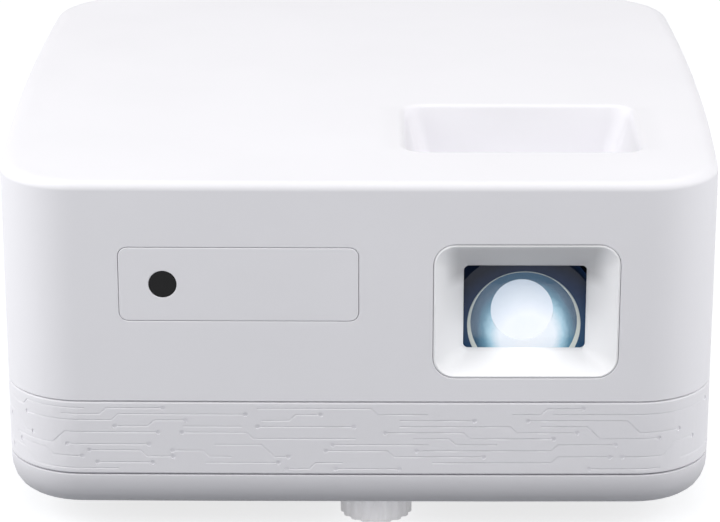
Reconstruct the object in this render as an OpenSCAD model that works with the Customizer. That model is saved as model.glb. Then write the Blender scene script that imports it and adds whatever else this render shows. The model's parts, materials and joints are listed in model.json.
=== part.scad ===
// Compact LED projector with a slim disc drive that loads from its left side.
// Units are millimetres. X runs to the right seen from the front, Y runs from the front to the rear, Z is up.
// The origin is on the floor, under the middle of the body.

/* [Body] */
// Overall width of the body across its bowed sides
body_w = 218; // [216:1:240]
// Overall depth of the body from front face to rear face
body_d = 216; // [212:1:240]
// Height of the upper cover, from the upper seam to the top face
cover_h = 68.4; // [66.4:0.1:80]
// Height of the textured band between the two seams
band_h = 23.6; // [19:0.1:30]
// Height of the base tray below the lower seam
base_h = 10.7; // [9.5:0.1:14]
// Height of the body's underside above the floor
floor_gap = 9.3; // [8.5:0.1:12]
// Radius of the upright corners, seen from above
corner_r = 24; // [20:1:28]
// Bulge of the left and right sides at their middle
side_bow = 2.2; // [1:0.1:3]
// Bulge of the front and rear faces at their middle
face_bow = 0.4; // [0.2:0.1:1]
// Wall thickness of the moulded shells
wall = 2.2; // [1.8:0.1:2.6]
// Height of the shadow gap at each seam
seam_gap = 0.4; // [0.2:0.05:0.8]

/* [Edges] */
// Height of the rounding along the top edge
top_edge_z = 2.6; // [1.5:0.1:5]
// Reach of that rounding on to the top face from the front and rear
top_edge_y = 2.6; // [1.5:0.1:5]
// Reach of that rounding on to the top face from the sides
top_edge_x = 4.8; // [2:0.1:8]
// Height of the rounding under the base
base_edge_z = 8.7; // [5:0.1:9]
// Reach of the rounding under the base
base_edge_x = 5.3; // [3:0.1:8]

/* [Lens and bezel] */
// Distance of the lens axis from the right side
lens_in = 59.6; // [57:0.1:62]
// Depth of the lens axis under the top face
lens_drop = 49; // [48:0.1:51]
// Width of the lens bezel
bezel_w = 55; // [50:0.5:60]
// Height of the lens bezel
bezel_h = 42; // [38:0.5:46]
// Corner radius of the lens bezel
bezel_r = 6.5; // [4:0.1:9]
// Depth of the bezel's middle under the top face
bezel_drop = 39.8; // [38:0.1:42]
// How far the funnel of the bezel goes back
bezel_depth = 10; // [7:0.1:11]
// Width of the window at the back of the funnel
window_w = 36.5; // [32:0.1:40]
// Height of the window at the back of the funnel
window_h = 26.7; // [22:0.1:29]
// Depth of the window's middle under the top face
window_drop = 42.1; // [41:0.1:43]
// Outer radius of the moving lens cell
cell_r = 23; // [22:0.1:24]
// Radius of the clear front glass
glass_r = 17; // [15:0.1:18]
// Outer radius of the focus ring
ring_r = 34; // [32.5:0.1:34.5]
// Width of the focus ring along the lens axis
ring_w = 14; // [10:0.1:18]
// Half the travel of the lens cell along its axis
focus_travel = 1.2; // [0.6:0.1:2]

/* [Front panel] */
// Distance of the sensor panel's outer end from the left side
panel_side = 38.45; // [32:0.05:50]
// Distance between the sensor panel and the lens bezel
panel_gap = 21.75; // [18:0.05:30]
// Height of the sensor panel
panel_h = 23; // [18:0.1:28]
// Corner radius of the sensor panel
panel_r = 2.8; // [1.5:0.1:5]
// Depth of the sensor panel's middle under the top face
panel_drop = 31.3; // [28:0.1:34]
// Radius of the dark sensor window
sensor_r = 4.1; // [3:0.1:6]
// Distance of the sensor window from the panel's outer end
sensor_in = 13.05; // [9:0.05:30]

/* [Finger recess] */
// Width of the recess over the focus ring
recess_w = 70.5; // [60:0.5:74]
// Length of the recess from front to rear
recess_l = 48; // [40:0.5:50]
// Distance of the recess's middle from the front face
recess_y = 54; // [52:0.1:56]
// Depth of the recess
recess_depth = 17; // [15.5:0.1:17.5]
// Corner radius of the recess
recess_r = 6; // [4:0.1:10]
// How far the recess walls lean inwards from rim to floor
recess_lean = 2.4; // [1:0.1:5]
// Reach of the rounding round the rim of the recess
recess_rim = 2.2; // [1:0.1:3]

/* [Feet] */
// Sideways place of the front adjuster foot
foot_x = 5.3; // [-10:0.1:12]
// Distance of the front foot from the front face
foot_y = 19; // [16:0.1:24]
// Radius of the foot's ribbed wheel
foot_r = 11; // [9:0.1:14]
// Radius of the foot's screw
screw_r = 4; // [3:0.1:5]
// Travel of the adjuster foot
foot_travel = 10; // [6:0.5:12]
// Distance of each rear foot from the middle plane
rear_foot_x = 78; // [60:1:82]
// Distance of each rear foot from the rear face
rear_foot_y = 32; // [30:1:50]
// Radius of the rear feet
rear_foot_r = 8; // [6:0.1:10]

/* [Disc drive] */
// Width of the slim drive, along the body's depth
drive_w = 128; // [127:0.5:130]
// How far the slim drive reaches in under the edge of the focus ring
drive_under = 6.1; // [4:0.1:7]
// Thickness of the slim drive
drive_t = 12.7; // [12.5:0.1:14]

/* [Fans] */
// Side of the square exhaust fan
exhaust_size = 66; // [60:1:67]
// Depth of the exhaust fan
exhaust_depth = 15; // [14:1:16]
// Side of the square intake fan
intake_size = 50; // [44:1:54]
// Depth of the intake fan
intake_depth = 10; // [9:1:11]

/* [Optical engine] */
// Width of the engine housing
engine_w = 72; // [70:1:74]
// Length of the engine housing
engine_l = 74; // [72:1:74]
// Height of the engine housing
engine_h = 46; // [45:1:50]
// Distance of the engine's middle behind the middle of the body
engine_back = 5; // [3:0.5:6]
// Side of the cube prism
prism_size = 24; // [20:1:25]
// Width of the heatsink
sink_w = 64; // [56:1:66]
// Gap between the heatsink's fins and the exhaust fan
sink_gap = 6.8; // [3:0.1:14]
// Height of the heatsink
sink_h = 62; // [50:1:64]
// Spacing of the heatsink's fins
fin_pitch = 4; // [3:0.5:6]
// Radius of the heat pipes
pipe_r = 2.5; // [2:0.1:3]

/* [Boards and ports] */
// Gap between the main board and the engine housing
board_gap = 1.2; // [1:0.1:5]
// Length of the main board
board_l = 116; // [100:1:118]
// Thickness of the circuit boards
board_t = 1.6; // [1:0.1:2]
// Width of the rear port panel
io_w = 76; // [75:1:78]
// Height of the rear port panel
io_h = 36; // [34:1:37]
// Radius of the power key
power_key_r = 5; // [4:0.1:6]
// Radius of the two smaller keys
small_key_r = 3.6; // [3:0.1:4.5]
// Travel of the keys
key_travel = 0.8; // [0.4:0.1:1]

/* [Speaker] */
// Width of the speaker box
speaker_w = 40; // [38:1:42]
// Gap between the focus ring and the speaker box
speaker_gap = 21; // [15:0.5:40]
// Height of the speaker box
speaker_h = 24; // [18:1:26]
// Radius of the speaker's cone
cone_r = 16; // [14:0.5:17]
// Distance of the speaker's axis from the right side
speaker_side = 27; // [27:0.5:31]
// Distance of the speaker box from the rear face
speaker_back = 38; // [34:0.5:50]

/* [Hidden] */
$fn = 48;

// Colours
white_shell = [0.93, 0.93, 0.95];
pale_grey = [0.78, 0.79, 0.81];
mid_grey = [0.5, 0.51, 0.53];
black_plastic = [0.07, 0.07, 0.08];
rubber_grey = [0.25, 0.25, 0.26];
steel = [0.7, 0.71, 0.73];
brass = [0.78, 0.63, 0.3];
copper = [0.76, 0.45, 0.3];
board_green = [0.1, 0.35, 0.2];
led_yellow = [0.95, 0.85, 0.3];
can_blue = [0.2, 0.25, 0.4];
glass_blue = [0.6, 0.75, 0.85, 0.5];

// Clearances
fit_gap = 0.3;      // between pieces that only lie next to each other
slide_gap = 0.1;    // round a piece that slides in its guide
run_gap = 0.05;     // round a shaft that turns in its bore
cut = 1;            // how far a cutter reaches past a face

// Faces and levels of the body
front_y = -body_d / 2;
rear_y = body_d / 2;
left_x = -body_w / 2;
right_x = body_w / 2;
base_z = floor_gap;
seam_lo = base_z + base_h;
seam_hi = seam_lo + band_h;
top_z = seam_hi + cover_h;
base_floor = base_z + wall;
corner_x = body_w / 2 - corner_r - side_bow;
corner_y = body_d / 2 - corner_r - face_bow;

// Steps along the body's outline
corner_steps = 10;
side_steps = 6;
face_steps = 4;
edge_steps = 5;

// Joints between the three shells
tongue_t = 1.2;
tongue_h = 3;

// Screw posts in the corners
post_r = 3.6;
post_out = 6;
post_x = corner_x + post_out;
post_y = corner_y + post_out;
post_split = seam_lo + 3;
post_bore = 14;
case_screw_r = 1.5;
case_screw_l = 20;
case_screw_head_r = 2.8;
case_screw_head_h = 2;
head_sink = 0.6;

// -------------------------------- shared shapes

// Points on an arc, both ends included
function arc(centre, r, from, to, steps) =
    [for (i = [0 : steps]) let (a = from + (to - from) * i / steps) centre + r * [cos(a), sin(a)]];

// Everything but the last item of a list
function but_last(list) = [for (i = [0 : len(list) - 2]) list[i]];

// The body's outline, set in by a distance: four bowed sides and four round corners, counter-clockwise
function outline(inset = 0) =
    let (
        side_arc = (pow(corner_y, 2) + pow(side_bow, 2)) / (2 * side_bow),
        face_arc = (pow(corner_x, 2) + pow(face_bow, 2)) / (2 * face_bow),
        side_turn = asin(corner_y / side_arc),
        face_turn = asin(corner_x / face_arc),
        r = corner_r - inset,
        side_c = corner_x + side_bow - side_arc,
        face_c = corner_y + face_bow - face_arc
    )
    concat(
        but_last(arc([side_c, 0], side_arc + r, -side_turn, side_turn, side_steps)),
        but_last(arc([corner_x, corner_y], r, side_turn, 90 - face_turn, corner_steps)),
        but_last(arc([0, face_c], face_arc + r, 90 - face_turn, 90 + face_turn, face_steps)),
        but_last(arc([-corner_x, corner_y], r, 90 + face_turn, 180 - side_turn, corner_steps)),
        but_last(arc([-side_c, 0], side_arc + r, 180 - side_turn, 180 + side_turn, side_steps)),
        but_last(arc([-corner_x, -corner_y], r, 180 + side_turn, 270 - face_turn, corner_steps)),
        but_last(arc([0, -face_c], face_arc + r, 270 - face_turn, 270 + face_turn, face_steps)),
        but_last(arc([corner_x, -corner_y], r, 270 + face_turn, 360 - side_turn, corner_steps))
    );

// The outline as a ring of points at a height, set in more from the sides than from the faces if asked
function outline_ring(z, inset, extra_x = 0) =
    let (squeeze = 1 - extra_x / (body_w / 2 - inset))
    [for (p = outline(inset)) [p[0] * squeeze, p[1], z]];

// Points of a rounded rectangle, counter-clockwise, middle at the origin
function round_rect(w, h, r, steps = 6) =
    let (x = w / 2 - r, y = h / 2 - r)
    concat(arc([x, y], r, 0, 90, steps), arc([-x, y], r, 90, 180, steps),
        arc([-x, -y], r, 180, 270, steps), arc([x, -y], r, 270, 360, steps));

// A ring of points with a flat list of 2D points lifted to a height
function lifted(points, z) = [for (p = points) [p[0], p[1], z]];

// A closed solid through stacked rings of equal count, lowest ring first
module skin(rings) {
    n = len(rings[0]);
    m = len(rings);
    polyhedron(
        points = [for (ring = rings) each ring],
        faces = concat(
            [[for (i = [0 : n - 1]) i]],
            [for (k = [0 : m - 2], i = [0 : n - 1])
                let (j = (i + 1) % n) [k * n + i, (k + 1) * n + i, (k + 1) * n + j]],
            [for (k = [0 : m - 2], i = [0 : n - 1])
                let (j = (i + 1) % n) [k * n + i, (k + 1) * n + j, k * n + j]],
            [[for (i = [n - 1 : -1 : 0]) (m - 1) * n + i]]
        )
    );
}

// A straight-sided block of the body's outline between two heights
module outline_block(z0, z1, inset = 0) {
    translate([0, 0, z0]) linear_extrude(z1 - z0) polygon(outline(inset));
}

// A wall that follows the outline, between two insets and two heights
module outline_wall(z0, z1, outer, inner) {
    difference() {
        outline_block(z0, z1, outer);
        outline_block(z0 - cut, z1 + cut, inner);
    }
}

// A rounded bar seen from the front, running along Y from y0 to y1
module front_bar(x, z, w, h, r, y0, y1) {
    translate([x, y1, z]) rotate([90, 0, 0]) linear_extrude(y1 - y0) polygon(round_rect(w, h, r));
}

// A rounded bar seen from the side, running along X from x0 to x1
module side_bar(y, z, w, h, r, x0, x1) {
    translate([x0, y, z]) rotate([90, 0, 90]) linear_extrude(x1 - x0) polygon(round_rect(w, h, r));
}

// A rod along Y
module rod_y(x, z, r, y0, y1) {
    translate([x, y1, z]) rotate([90, 0, 0]) cylinder(r = r, h = y1 - y0);
}

// A rod along X
module rod_x(y, z, r, x0, x1) {
    translate([x0, y, z]) rotate([0, 90, 0]) cylinder(r = r, h = x1 - x0);
}

// A tube along Y
module tube_y(x, z, outer, inner, y0, y1) {
    difference() {
        rod_y(x, z, outer, y0, y1);
        rod_y(x, z, inner, y0 - cut, y1 + cut);
    }
}

// A box between two corners
module box(low, high) {
    translate(low) cube(high - low);
}

// Corner positions of the case screws
module at_posts() {
    for (sx = [-1, 1], sy = [-1, 1]) translate([sx * post_x, sy * post_y, 0]) children();
}

// -------------------------------- levels and places

// Lens axis, and the openings in the front
lens_x = right_x - lens_in;
lens_z = top_z - lens_drop;
bezel_z = top_z - bezel_drop;
window_z = top_z - window_drop;
panel_x0 = left_x + panel_side;
panel_x1 = lens_x - bezel_w / 2 - panel_gap;
panel_w = panel_x1 - panel_x0;
panel_x = (panel_x0 + panel_x1) / 2;
panel_z = top_z - panel_drop;
sensor_x = panel_x0 + sensor_in;

// Slots for the air
slot_pitch = 4.2;
slot_w = 2.2;
slot_r = 1;
slot_margin = 3.5;
intake_slot_end = 4;
exhaust_slot_end = 6;
exhaust_slot_drop = 1;
speaker_slot_pitch = 4;
speaker_slot_w = 2;

// Inlays in the casing
inlay_gap = 0.15;
flange_t = 1.2;
flange_out = 1.8;
flange_y = body_d / 2 - face_bow - wall - run_gap;
bezel_plate = 2;
bezel_lip = 0.7;
window_r = 1.6;
receiver_size = 6;
receiver_t = 2;
receiver_board_w = 18;
receiver_board_h = 14;
bezel_floor_y = front_y + bezel_depth;

// Disc drive, centred in the band
drive_z0 = (seam_lo + seam_hi - drive_t) / 2;
drive_z1 = drive_z0 + drive_t;
drive_in = 4.5;
sheet = 1;
drive_x0 = left_x + drive_in;
drive_x1 = lens_x - ring_r + drive_under;
drive_l = drive_x1 - drive_x0;
disc_margin = 3;
disc_r = min(drive_l, drive_w - 2 * sheet) / 2 - disc_margin;
cover_sheet = 0.8;
bezel_back = 0.6;
bezel_in_x = drive_x0 - bezel_back;
door_gap = 0.4;
door_depth = 3.5;
tray_bezel_r = 0.8;

// Middle frame that carries the optics and the main board
frame_t = 2;
frame_z = drive_z1 + 1;
frame_top = frame_z + frame_t;
frame_in_x = 11;
frame_in_y = 25;
frame_reach_x = body_w / 2 - frame_in_x;
frame_reach_y = body_d / 2 - frame_in_y;
frame_corner_r = 6;
leg_r = 3.5;
leg_gap = 1.5;
leg_in = 9;
leg_side = 34;
leg_mid = 41.5;
leg_past = 8;
leg_split = 25;
lens_room = 3;
standoff_r = 3;
standoff_in = 6;
standoff_back = 8;

// Lens assembly, from the front to the rear
cell_gap = 0.8;
cell_y0 = bezel_floor_y + bezel_plate + focus_travel + cell_gap;
cell_l = 38;
cell_y1 = cell_y0 + cell_l;
barrel_in = 8;
barrel_y0 = cell_y0 + barrel_in;
engine_y0 = engine_back - engine_l / 2;
barrel_y1 = engine_y0;
barrel_wall = 1.9;
barrel_r = cell_r + slide_gap + barrel_wall;
ring_y0 = front_y + recess_y - ring_w / 2;
ring_y1 = ring_y0 + ring_w;
ring_slot = 0.6;
ring_slot_side = 1.2;
ring_tread = 2.8;
ring_hub = 2.6;
ring_web = 3;
grip_count = 60;
grip_w = 1.4;
grip_depth = 0.7;
barrel_rib_w = 1.6;
barrel_rib_out = 1.4;
barrel_plate_t = 3;
barrel_plate_out = 4;
barrel_plate_in = 1;
front_lens_r = glass_r + 1;
front_lens_t = 4;
front_lens_rise = 2.2;
front_lens_dip = 2;
cell_lip = 1.4;
cell_seat_in = 24;
cell_seat_l = 7;
cell_seat_y0 = cell_y0 + cell_seat_in;
cell_seat_y1 = cell_seat_y0 + cell_seat_l;
inner_lens_r = 12;
inner_lens_in = 1;
inner_lens_rise = 2;
inner_lens_dip = 3;
rear_lens_r = 12;
rear_lens_t = 5;
rear_lens_in = 3;
rear_lens_rise = 2;
rear_lens_dip = 1.5;
rear_seat_l = rear_lens_in + rear_lens_t + 1;

// Finger recess
recess_floor = top_z - recess_depth;
recess_wall = 1.8;
recess_mid_y = front_y + recess_y;

// Optical engine on the frame, in line with the lens
engine_wall = 2;
engine_x0 = lens_x - engine_w / 2;
engine_x1 = engine_x0 + engine_w;
engine_y1 = engine_y0 + engine_l;
engine_z0 = frame_top;
engine_z1 = engine_z0 + engine_h;
engine_floor = engine_z0 + engine_wall;
optic_drop = 1;
optic_z = lens_z - optic_drop;
lamp_in = 16;
lamp_y = engine_y1 - engine_wall - lamp_in;
mirror_in = 11;
mirror_x = engine_x0 + mirror_in;
mirror_l = 15;
mirror_t = 1.5;
mirror_h = 30;
dichroic_t = 1.1;
dichroic_h = 28;
prism_in = 1;
prism_y0 = engine_y0 + engine_wall + prism_in;
prism_y1 = prism_y0 + prism_size;
prism_slit = 0.1;
stand_w = 16;
stand_in = 2;
cradle_w = 5;
cradle_root = 0.5;
led_side = 18;
led_r = 3;
led_hole_r = 5;
led_pitch = 20;
led_xs = [lens_x, lens_x + led_pitch];
collimator_r = 7;
collimator_t = 2.5;
collimator_in = 4.5;
collimator_y = engine_y1 - engine_wall - collimator_in - collimator_t / 2;
collimator_x = engine_x1 - engine_wall - collimator_in - collimator_t / 2;
field_r = 8;
field_t = 2.4;
field_y = engine_y0 + 34;
relay_r = 5;
relay_t = 2;
relay_out = 9.5;
chip_w = 20;
chip_h = 16;
chip_t = 2.6;
chip_gap = 0.2;
imager_board_w = 34;
imager_board_up = 14;
lid_t = 1.6;
lid_screw_r = 2.4;
lid_screw_h = 1.4;
lid_screw_in = 5;

// Heatsink and fans
exhaust_in = 2;
exhaust_y1 = rear_y - face_bow - wall - exhaust_in;
exhaust_y0 = exhaust_y1 - exhaust_depth;
exhaust_x0 = lens_x - exhaust_size / 2;
sink_base_t = 4;
sink_x0 = lens_x - sink_w / 2;
sink_y0 = engine_y1 + board_t;
sink_y1 = exhaust_y0 - sink_gap;
sink_z1 = frame_top + sink_h;
fin_t = 1;
fin_y0 = sink_y0 + sink_base_t;
pipe_plate = 3;
pipe_plate_side = 18;
pipe_x = engine_x1 + board_t + pipe_plate + pipe_r + slide_gap;
pipe_bend = 8;
pipe_y = (fin_y0 + sink_y1) / 2;
pipe_half = 6;
pipe_zs = [optic_z - pipe_half, optic_z + pipe_half];
pipe_start = 8;
pipe_end = 6;
exhaust_z = (frame_top + top_z - wall) / 2;
exhaust_hub_r = 15;
exhaust_blades = 9;
intake_in = 1;
intake_x0 = left_x + wall + side_bow + intake_in;
intake_y = 20;
intake_drop = 35;
intake_z = top_z - intake_drop;
intake_hub_r = 11;
intake_blades = 7;
fan_corner_r = 3;
fan_hole_r = 1.6;
fan_plate_t = 2;
fan_arm_w = 3;
fan_arm_turn = 20;
fan_shaft_r = 1.5;
fan_shaft_in = 3;
fan_end_gap = 1;
fan_tip_in = 0.6;
blade_t = 1.2;
blade_turn = 38;
hub_skin = 1.5;
hub_floor = 2.5;
hub_core_r = 4;
blade_root = 0.8;
fan_hole_gap = 2.5;
fan_tip_gap = 1;
fan_boss_r = 3;
fan_boss_in = 4;

// Main board, its ports and the rear keys
board_post_gap = 1.2;
board_x0 = post_r + board_post_gap - post_x;
board_x1 = engine_x0 - board_gap;
board_up = 9;
board_z = frame_top + board_up;
board_top = board_z + board_t;
board_back = 9;
board_y1 = rear_y - board_back;
board_y0 = board_y1 - board_l;
io_x = (exhaust_x0 - corner_x) / 2;
io_up = 15.4;
io_z = board_top + io_up;
port_in = 0.4;
port_y = rear_y - face_bow - port_in;
dc_at = -31;
hdmi_at = [-15, 3];
usb_at = 20.5;
audio_at = 32.5;
dc_x = io_x + dc_at;
hdmi_xs = [for (at = hdmi_at) io_x + at];
usb_x = io_x + usb_at;
audio_x = io_x + audio_at;
key_up = 25;
key_z = board_top + key_up;
key_in = 0.1;
key_y = rear_y - face_bow - key_in;
key_at = [-20, 0, 18];
key_xs = [for (at = key_at) io_x + at];
key_board_in = 6;
key_board_y = flange_y - flange_t - key_board_in;
key_collar_w = 1.2;
key_collar_t = 0.8;
key_collar_gap = 0.2;
key_stem_r = 1.5;
switch_side = 4.4;
switch_t = 1.8;
key_board_side = 10;
key_board_over = 7;
key_board_tab = 2;

// Sizes of the ports, standing on the main board
port_l = 13;
hdmi_w = 15;
hdmi_h = 6;
usb_w = 13.2;
usb_h = 6.4;
dc_w = 9;
dc_h = 11;
dc_z = 6.2;
audio_w = 7;
audio_h = 6.6;
audio_z = 3.4;
audio_r = 3;
audio_bore_r = 1.78;
audio_body_gap = 0.5;
dc_bore_r = 3.1;
dc_pin_r = 1;
port_skin = 0.5;
port_back = 2;
port_tongue_in = 1;
hdmi_tongue_w = 11;
hdmi_tongue_t = 1.4;
usb_tongue_w = 11.2;
usb_tongue_t = 1.7;
usb_tongue_in = 0.9;

// Parts on the main board, from its front left corner
shield_side = 28;
shield_h = 6;
shield_x = 30;
shield_y = 34;
memory_w = 7;
memory_l = 11;
memory_h = 1.2;
memory_pitch = 9;
memory_x = 28;
memory_y = 18;
driver_side = 14;
driver_h = 1.6;
driver_in = 16;
driver_y = 40;
coil_side = 10;
coil_h = 4;
coil_pitch = 14;
coil_x = 10;
coil_y = 40;
capacitor_r = 3.2;
capacitor_h = 9;
capacitor_pitch = 11;
capacitor_x = 12;
capacitor_y = 76;

// Speaker in the right half of the base
speaker_x = right_x - speaker_side;
speaker_y0 = ring_y1 + speaker_gap;
speaker_y1 = rear_y - speaker_back;
speaker_l = speaker_y1 - speaker_y0;
speaker_y = (speaker_y0 + speaker_y1) / 2;
speaker_wall = 1.8;
speaker_floor = 2.8;
surround_w = 2;
surround_t = 2;
surround_z = 1;
cone_dip_r = 5;
cone_dip_z = 6;
magnet_r = 8;
magnet_z = 9;
magnet_top = 14;

// Feet
foot_cy = front_y + foot_y;
pad_in = 2.5;
pad_r = foot_r - pad_in;
pad_t = 1.4;
knob_z0 = 0.5;
knob_gap = 0.4;
knob_z1 = base_z - knob_gap;
pin_r = 2;
screw_foot = 4.6;
screw_over = 12;
screw_top = base_z + foot_travel + screw_over;
nut_in = 1.2;
nut_l = 9.8;
nut_z0 = base_z + nut_in;
nut_z1 = nut_z0 + nut_l;
nut_wall = 3;
nut_r = screw_r + nut_wall;
flute_count = 18;
flute_r = 1.4;
flute_out = 0.7;
foot_sink = 0.8;
foot_taper = 1;

// Places of the bosses on the base
boss_root = 1;
bolt_in_x = 54;
bolt_in_y = 68;
bolt_x = body_w / 2 - bolt_in_x;
bolt_y = body_d / 2 - bolt_in_y;
bolt_r = 1.65;
bolt_depth = 8;
bolt_boss_r = 5;
bolt_boss_cap = 2.5;
drive_boss_r = 4;
drive_boss_in = 8;
drive_boss_xs = [drive_x0 + 18, drive_x1 - 12];
drive_boss_y = drive_w / 2 - drive_boss_in;
tripod_r = 2.55;
tripod_depth = 8;
insert_r = 5.5;
insert_cap = 1;
insert_h = tripod_depth + insert_cap;
insert_boss_wall = 2.5;
nut_boss_wall = 2.4;

// Tray and its mechanism
rail_t = 1.6;
rail_h = 4;
rail_up = 6.4;
rail_z = drive_z0 + rail_up;
rail_gap = 0.2;
rail_in = 0.5;
rail_end = 2;
rail_y0 = drive_w / 2 - sheet - rail_gap - rail_t;
lip_t = 0.8;
lip_gap = 0.15;
lip_w = 0.85;
lip_root = 0.3;
lip_zs = [rail_z - rail_h / 2 - lip_gap - lip_t, rail_z + rail_h / 2 + lip_gap];
tray_gap = 0.15;
tray_y = rail_y0 - tray_gap;
tray_end_gap = 0.4;
tray_x1 = drive_x1 - sheet - tray_end_gap;
tray_under = 0.6;
tray_over = 0.5;
tray_z0 = drive_z0 + sheet + tray_under;
tray_z1 = drive_z1 - cover_sheet - tray_over;
tray_wall = 1.4;
tray_front = 4;
tray_back = 1.6;
pocket_depth = 2.6;
pocket_gap = 0.5;
pocket_z = tray_z1 - pocket_depth;
plate_t = 1.2;
plate_z = pocket_z - plate_t;
disc_in = 1.5;
disc_x = drive_x0 + disc_r + disc_in;
deck_t = 0.6;
deck_z = tray_z0 + deck_t;
deck_w = 72;
deck_in = 18;
deck_end = 1.8;
deck_hole_w = 20;
deck_hole_end = 4;
deck_post_r = 2.5;
deck_post_y = 30;
eject_y = 44;
eject_w = 9;
eject_h = 2.6;
eject_gap = 0.25;
eject_room = 6;
eject_collar = 0.9;
eject_collar_t = 0.85;
hub_r = 7.3;
hub_up = 2;
turntable_r = 14;
turntable_gap = 0.3;
spindle_r = 1;
spindle_l = 3;
spindle_in = 0.8;
turntable_in = 3.4;
motor_r = 12.5;
motor_t = 3.1;
sled_l = 9;
sled_lens = 6;
sled_lens_r = 2.4;
sled_lens_h = 0.9;
sled_start = 24;
sled_side = 2.2;
sled_nut = 4;
sled_slot_w = 16;
sled_slot_in = 10;
sled_x0 = disc_x + sled_start - sled_lens;
sled_under = 0.5;
sled_over = 0.4;
sled_z0 = deck_z + sled_under;
sled_z1 = plate_z - sled_over;
rod_r = 1.2;
rod_y0 = 16;
rod_z = (sled_z0 + sled_z1) / 2;
rod_in = 15.5;
rod_x0 = disc_x + rod_in;
rod_end = 2.4;
rod_x1 = tray_x1 - rod_end;
rod_over = 0.4;
rod_block = 2;
rod_bearing_x = rod_x1 - 1.5;
lead_r = 1.2;
lead_y = 24;
lead_in = 13;
lead_x0 = disc_x + lead_in;
lead_motor_x = disc_x - 2;
lead_motor_l = 17.5;
lead_motor_half = 2.4;
lead_tail = 1.8;

// -------------------------------- casing

// Rings of the upper cover's outer skin, from its lower edge up over the rounded top edge
function cover_rings() =
    concat(
        [outline_ring(seam_hi + seam_gap / 2, 0)],
        [for (i = [0 : edge_steps]) let (a = 90 * i / edge_steps)
            outline_ring(top_z - top_edge_z * (1 - sin(a)), top_edge_y * (1 - cos(a)),
                (top_edge_x - top_edge_y) * (1 - cos(a)))]
    );

// Rings of the base tray's outer skin, from the underside up round its edge
function base_rings() =
    concat(
        [for (i = [0 : edge_steps]) let (a = 90 * i / edge_steps)
            outline_ring(base_z + base_edge_z * (1 - cos(a)), base_edge_x * (1 - sin(a)))],
        [outline_ring(seam_lo - seam_gap / 2, 0)]
    );

// Rings of the finger recess, floor first, grown outwards by a wall
function recess_rings(grow, floor_z, rim_z) =
    let (
        flat = 2 * (grow - recess_lean - recess_rim),
        rim = 2 * (grow - recess_rim)
    )
    [for (s = [
            [floor_z, flat],
            [rim_z - recess_rim, rim],
            [rim_z - recess_rim * 0.4, rim + recess_rim * 0.4],
            [rim_z, rim + 2 * recess_rim]
        ])
        lifted(round_rect(recess_w + s[1], recess_l + s[1], recess_r + s[1] / 4), s[0])];

module recess_solid(grow, floor_z, rim_z) {
    translate([lens_x, recess_mid_y, 0]) skin(recess_rings(grow, floor_z, rim_z));
}

// Slots through the left side
module intake_slots() {
    count = floor((intake_size / 2 - slot_margin) / slot_pitch);
    for (i = [-count : count])
        side_bar(intake_y + i * slot_pitch, intake_z, slot_w, intake_size - 2 * intake_slot_end, slot_r,
            left_x - cut, left_x + wall + side_bow + cut);
}

// Slots through the rear
module exhaust_slots() {
    count = floor((exhaust_size / 2 - slot_margin) / slot_pitch);
    for (i = [-count : count])
        front_bar(lens_x + i * slot_pitch, exhaust_z - exhaust_slot_drop, slot_w,
            exhaust_size - 2 * exhaust_slot_end, slot_r, rear_y - wall - face_bow - cut, rear_y + cut);
}

module top_cover() {
    intake_boss = intake_size / 2 - fan_boss_in;
    exhaust_boss = exhaust_size / 2 - fan_boss_in;
    color(white_shell) difference() {
        union() {
            difference() {
                skin(cover_rings());
                outline_block(seam_hi - cut, top_z - wall, wall);
            }
            recess_solid(recess_wall, recess_floor - recess_wall, top_z - wall / 2);
            at_posts() translate([0, 0, post_split]) cylinder(r = post_r, h = top_z - wall - post_split);
            for (sy = [-1, 1], sz = [-1, 1])
                rod_x(intake_y + sy * intake_boss, intake_z + sz * intake_boss, fan_boss_r,
                    left_x + wall, intake_x0);
            for (sx = [-1, 1])
                rod_y(lens_x + sx * exhaust_boss, exhaust_z + exhaust_boss, fan_boss_r, exhaust_y1,
                    rear_y - wall);
        }
        recess_solid(0, recess_floor, top_z + run_gap);
        box([lens_x - ring_slot_x(), ring_y0 - ring_slot, recess_floor - recess_wall - cut],
            [lens_x + ring_slot_x(), ring_y1 + ring_slot, recess_floor + cut]);
        front_bar(lens_x, bezel_z, bezel_w, bezel_h, bezel_r, front_y - cut, front_y + wall + face_bow + cut);
        front_bar(panel_x, panel_z, panel_w, panel_h, panel_r, front_y - cut, front_y + wall + face_bow + cut);
        front_bar(io_x, io_z, io_w, io_h, panel_r, rear_y - wall - face_bow - cut, rear_y + cut);
        intake_slots();
        exhaust_slots();
        at_posts() translate([0, 0, post_split - cut])
            cylinder(r = case_screw_r + run_gap, h = post_bore + cut);
    }
}

// Half the width of the slot that the focus ring stands through
function ring_slot_x() = sqrt(pow(ring_r, 2) - pow(recess_floor - recess_wall - lens_z, 2)) + ring_slot_side;

module mid_band() {
    tongue_in = wall + slide_gap;
    color(pale_grey) difference() {
        union() {
            outline_wall(seam_lo + seam_gap / 2, seam_hi - seam_gap / 2, 0, wall);
            outline_wall(seam_hi - tongue_h, seam_hi - seam_gap / 2, wall - run_gap, tongue_in + tongue_t);
            outline_wall(seam_hi - tongue_h, seam_hi + tongue_h, tongue_in, tongue_in + tongue_t);
        }
        box([left_x - cut, -drive_w / 2 - door_gap, drive_z0 - door_gap],
            [drive_x0 + door_depth, drive_w / 2 + door_gap, drive_z1 + door_gap]);
    }
}

// Slots under the speaker's cone
module speaker_slots() {
    half = speaker_slot_w / 2;
    for (i = [-3 : 3])
        let (y = speaker_y + i * speaker_slot_pitch,
            reach = sqrt(pow(cone_r, 2) - pow(i * speaker_slot_pitch, 2)))
            box([speaker_x - reach, y - half, base_z - cut], [speaker_x + reach, y + half, base_floor + cut]);
}

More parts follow.
